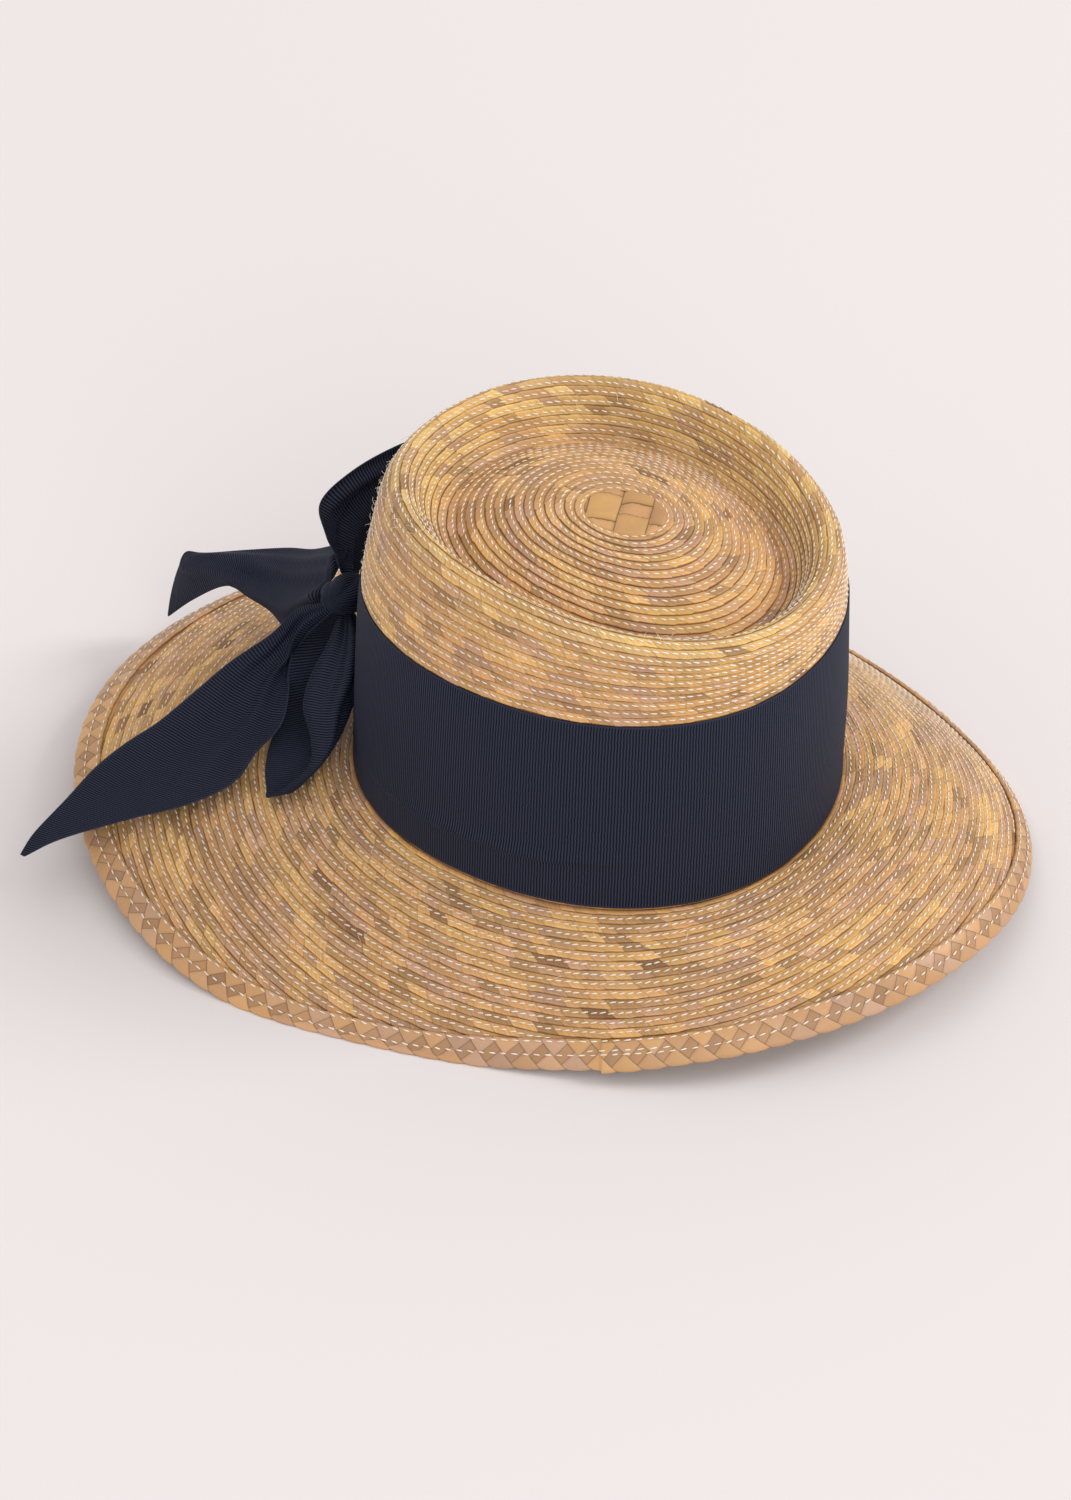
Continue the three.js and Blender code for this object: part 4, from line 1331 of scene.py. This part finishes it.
class HAT_OT_stage(bpy.types.Operator):
    """The pale floor, the soft lights and the camera."""

    bl_idname = "hat.stage"
    bl_label = "Stage"

    def execute(self, context):
        scene = context.scene
        s = settings()
        bm = bmesh.new()
        bmesh.ops.create_grid(bm, x_segments=1, y_segments=1, size=FLOOR_HALF_SIZE)
        mesh = made_mesh("floor", bm)
        floor = bpy.data.objects.new("floor", mesh)
        scene.collection.objects.link(floor)
        material, n, shader = new_material("floor_paper")
        if n is not None:
            speck = n.noise(n.add("ShaderNodeTexCoord").outputs["Object"], 900.0, 2.0, 0.6)
            specks = n.span(speck, 0.3, 0.7, 0.0, 0.02)
            n.feed(shader.inputs["Base Color"], n.mix(specks, tuple(s.floor), FLOOR_SPECK))
            set_inputs(shader, {"Roughness": 0.9, "Specular IOR Level": 0.2})
        mesh.materials.append(material)
        self.add_lights(scene)
        self.add_camera(scene)
        return {"FINISHED"}

    def add_lights(self, scene):
        s = settings()
        world = bpy.data.worlds.new("soft_room")
        scene.world = world
        world.use_nodes = True
        background = world.node_tree.nodes["Background"]
        background.inputs["Color"].default_value = ROOM_TINT
        background.inputs["Strength"].default_value = s.room_light
        for name, azimuth, elevation, size in LIGHTS:
            light = bpy.data.lights.new(name, "AREA")
            light.shape = "DISK"
            light.size = size
            light.energy = getattr(s, name)
            place_facing(name, light, HAT_MIDDLE, away_from(azimuth, elevation), LIGHT_DISTANCE)
        scene.view_settings.view_transform = "Standard"

    def add_camera(self, scene):
        camera = bpy.data.cameras.new("camera")
        camera.sensor_width = CAMERA_SENSOR
        camera.lens = CAMERA_LENS
        target = (Vector(CAMERA_TARGET) + Vector(TABLE_SHIFT)) * MM
        back = away_from(CAMERA_AZIMUTH, CAMERA_ELEVATION)
        scene.camera = place_facing("camera", camera, target, back, CAMERA_DISTANCE)


def length_property(name, description, default):
    return bpy.props.FloatProperty(name=name, description=description + ", in millimetres", default=default,
                                   min=0.01)


def strength_property(name, description, default):
    return bpy.props.FloatProperty(name=name, description=description, default=default, min=0.0)


def count_property(name, description, default, lowest):
    return bpy.props.IntProperty(name=name, description=description, default=default, min=lowest)


def colour_property(name, description, default):
    return bpy.props.FloatVectorProperty(name=name, description=description, default=default + (1.0,),
                                         size=4, subtype="COLOR", min=0.0, max=1.0)


class HatSettings(bpy.types.PropertyGroup):
    """Sizes and colours of the hat."""

    row_pitch: length_property("Row pitch", "Width of one braid row that shows", 3.6)
    stitch_pitch: length_property("Stitch pitch", "From one stitch to the next", 3.35)
    stitch_length: length_property("Stitch length", "Length of one stitch", 2.65)
    thread_width: length_property("Thread width", "Width of the sewing thread", 0.66)
    stitch_share: bpy.props.FloatProperty(
        name="Stitch place", description="Where the stitches lie across a row", default=0.4,
        min=0.0, max=1.0, subtype="FACTOR")
    edge_strand: length_property("Edge strand", "Diagonal of one leaf tile of the edge braid", 9.6)
    bow_width: length_property("Bow ribbon width", "Width of the bow's ribbon", 55.0)
    rib_pitch: length_property("Rib pitch", "From one rib of the ribbon to the next", 1.12)
    ribbon_thickness: length_property("Ribbon thickness", "Thickness of the bow's ribbon", 0.6)
    fibre_count: count_property("Loose fibres", "Loose leaf fibres on the straw", 420, 3)
    brim_steps: count_property("Brim steps", "Faces round the brim", 360, 24)
    crown_steps: count_property("Crown steps", "Faces round the crown", 288, 24)
    edge_steps: count_property("Edge steps", "Faces round the edge braid", 1400, 24)
    golden: colour_property("Golden leaf", "Lightest, yellowest palm leaf", (0.72, 0.43, 0.145))
    tan: colour_property("Tan leaf", "Most of the palm leaf", (0.56, 0.305, 0.13))
    rose: colour_property("Rose leaf", "Pinkish palm leaf", (0.52, 0.3, 0.17))
    olive: colour_property("Olive leaf", "Greyish palm leaf", (0.43, 0.245, 0.105))
    umber: colour_property("Umber leaf", "Darkest palm leaf", (0.3, 0.155, 0.068))
    yellow: colour_property("Yellow leaf", "Leaf over the rim of the crown", (0.66, 0.44, 0.155))
    edge_tan: colour_property("Edge leaf", "Most of the edge braid", (0.54, 0.3, 0.14))
    edge_light: colour_property("Light edge leaf", "Lighter leaf of the edge braid", (0.64, 0.36, 0.14))
    edge_rose: colour_property("Rose edge leaf", "Pinkish leaf of the edge braid", (0.53, 0.32, 0.2))
    edge_umber: colour_property("Dark edge leaf", "Darkest leaf of the edge braid", (0.36, 0.19, 0.09))
    thread_white: colour_property("White thread", "Sewing thread", (0.97, 0.92, 0.83))
    thread_cream: colour_property("Cream thread", "Sewing thread where it is darker", (0.88, 0.76, 0.58))
    ribbon_crest: colour_property("Rib crest", "Ribbon on top of its ribs", (0.038, 0.046, 0.083))
    # Painted shade: the near-black colour between the ribs stands for the shade in the rib valleys.
    ribbon_valley_shade: colour_property("Rib valley", "Ribbon between its ribs", (0.001, 0.0012, 0.0025))
    floor: colour_property("Floor", "Pale floor", (0.785, 0.75, 0.75))
    room_light: strength_property("Room light", "Strength of the soft light all round", 0.8)
    key_light: strength_property("Key light", "Power of the large light, in watts", 300.0)
    front_light: strength_property("Front light", "Power of the light beside the camera, in watts", 210.0)


class HAT_PT_panel(bpy.types.Panel):
    """Lists the hat's sizes and its pieces."""

    bl_idname = "HAT_PT_panel"
    bl_label = "Palm Braid Hat"
    bl_space_type = "VIEW_3D"
    bl_region_type = "UI"
    bl_category = "Hat"

    def draw(self, context):
        for name in HatSettings.__annotations__:
            self.layout.prop(context.scene.hat_settings, name)
        for operator in PIECES:
            self.layout.operator(operator.bl_idname)


PIECES = (HAT_OT_brim, HAT_OT_crown, HAT_OT_edge, HAT_OT_button, HAT_OT_stitches, HAT_OT_fibres, HAT_OT_band,
          HAT_OT_bow, HAT_OT_stage)
CLASSES = (HatSettings, *PIECES, HAT_PT_panel)


def register():
    for cls in CLASSES:
        bpy.utils.register_class(cls)
    bpy.types.Scene.hat_settings = bpy.props.PointerProperty(type=HatSettings)


def unregister():
    del bpy.types.Scene.hat_settings
    for cls in reversed(CLASSES):
        bpy.utils.unregister_class(cls)


def main():
    register()
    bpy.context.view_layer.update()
    bpy.ops.hat.brim()
    bpy.ops.hat.crown()
    bpy.ops.hat.edge()
    bpy.ops.hat.button()
    bpy.ops.hat.stitches()
    bpy.ops.hat.fibres()
    bpy.ops.hat.band()
    bpy.ops.hat.bow()
    bpy.ops.hat.stage()


if __name__ == "__main__":
    main()
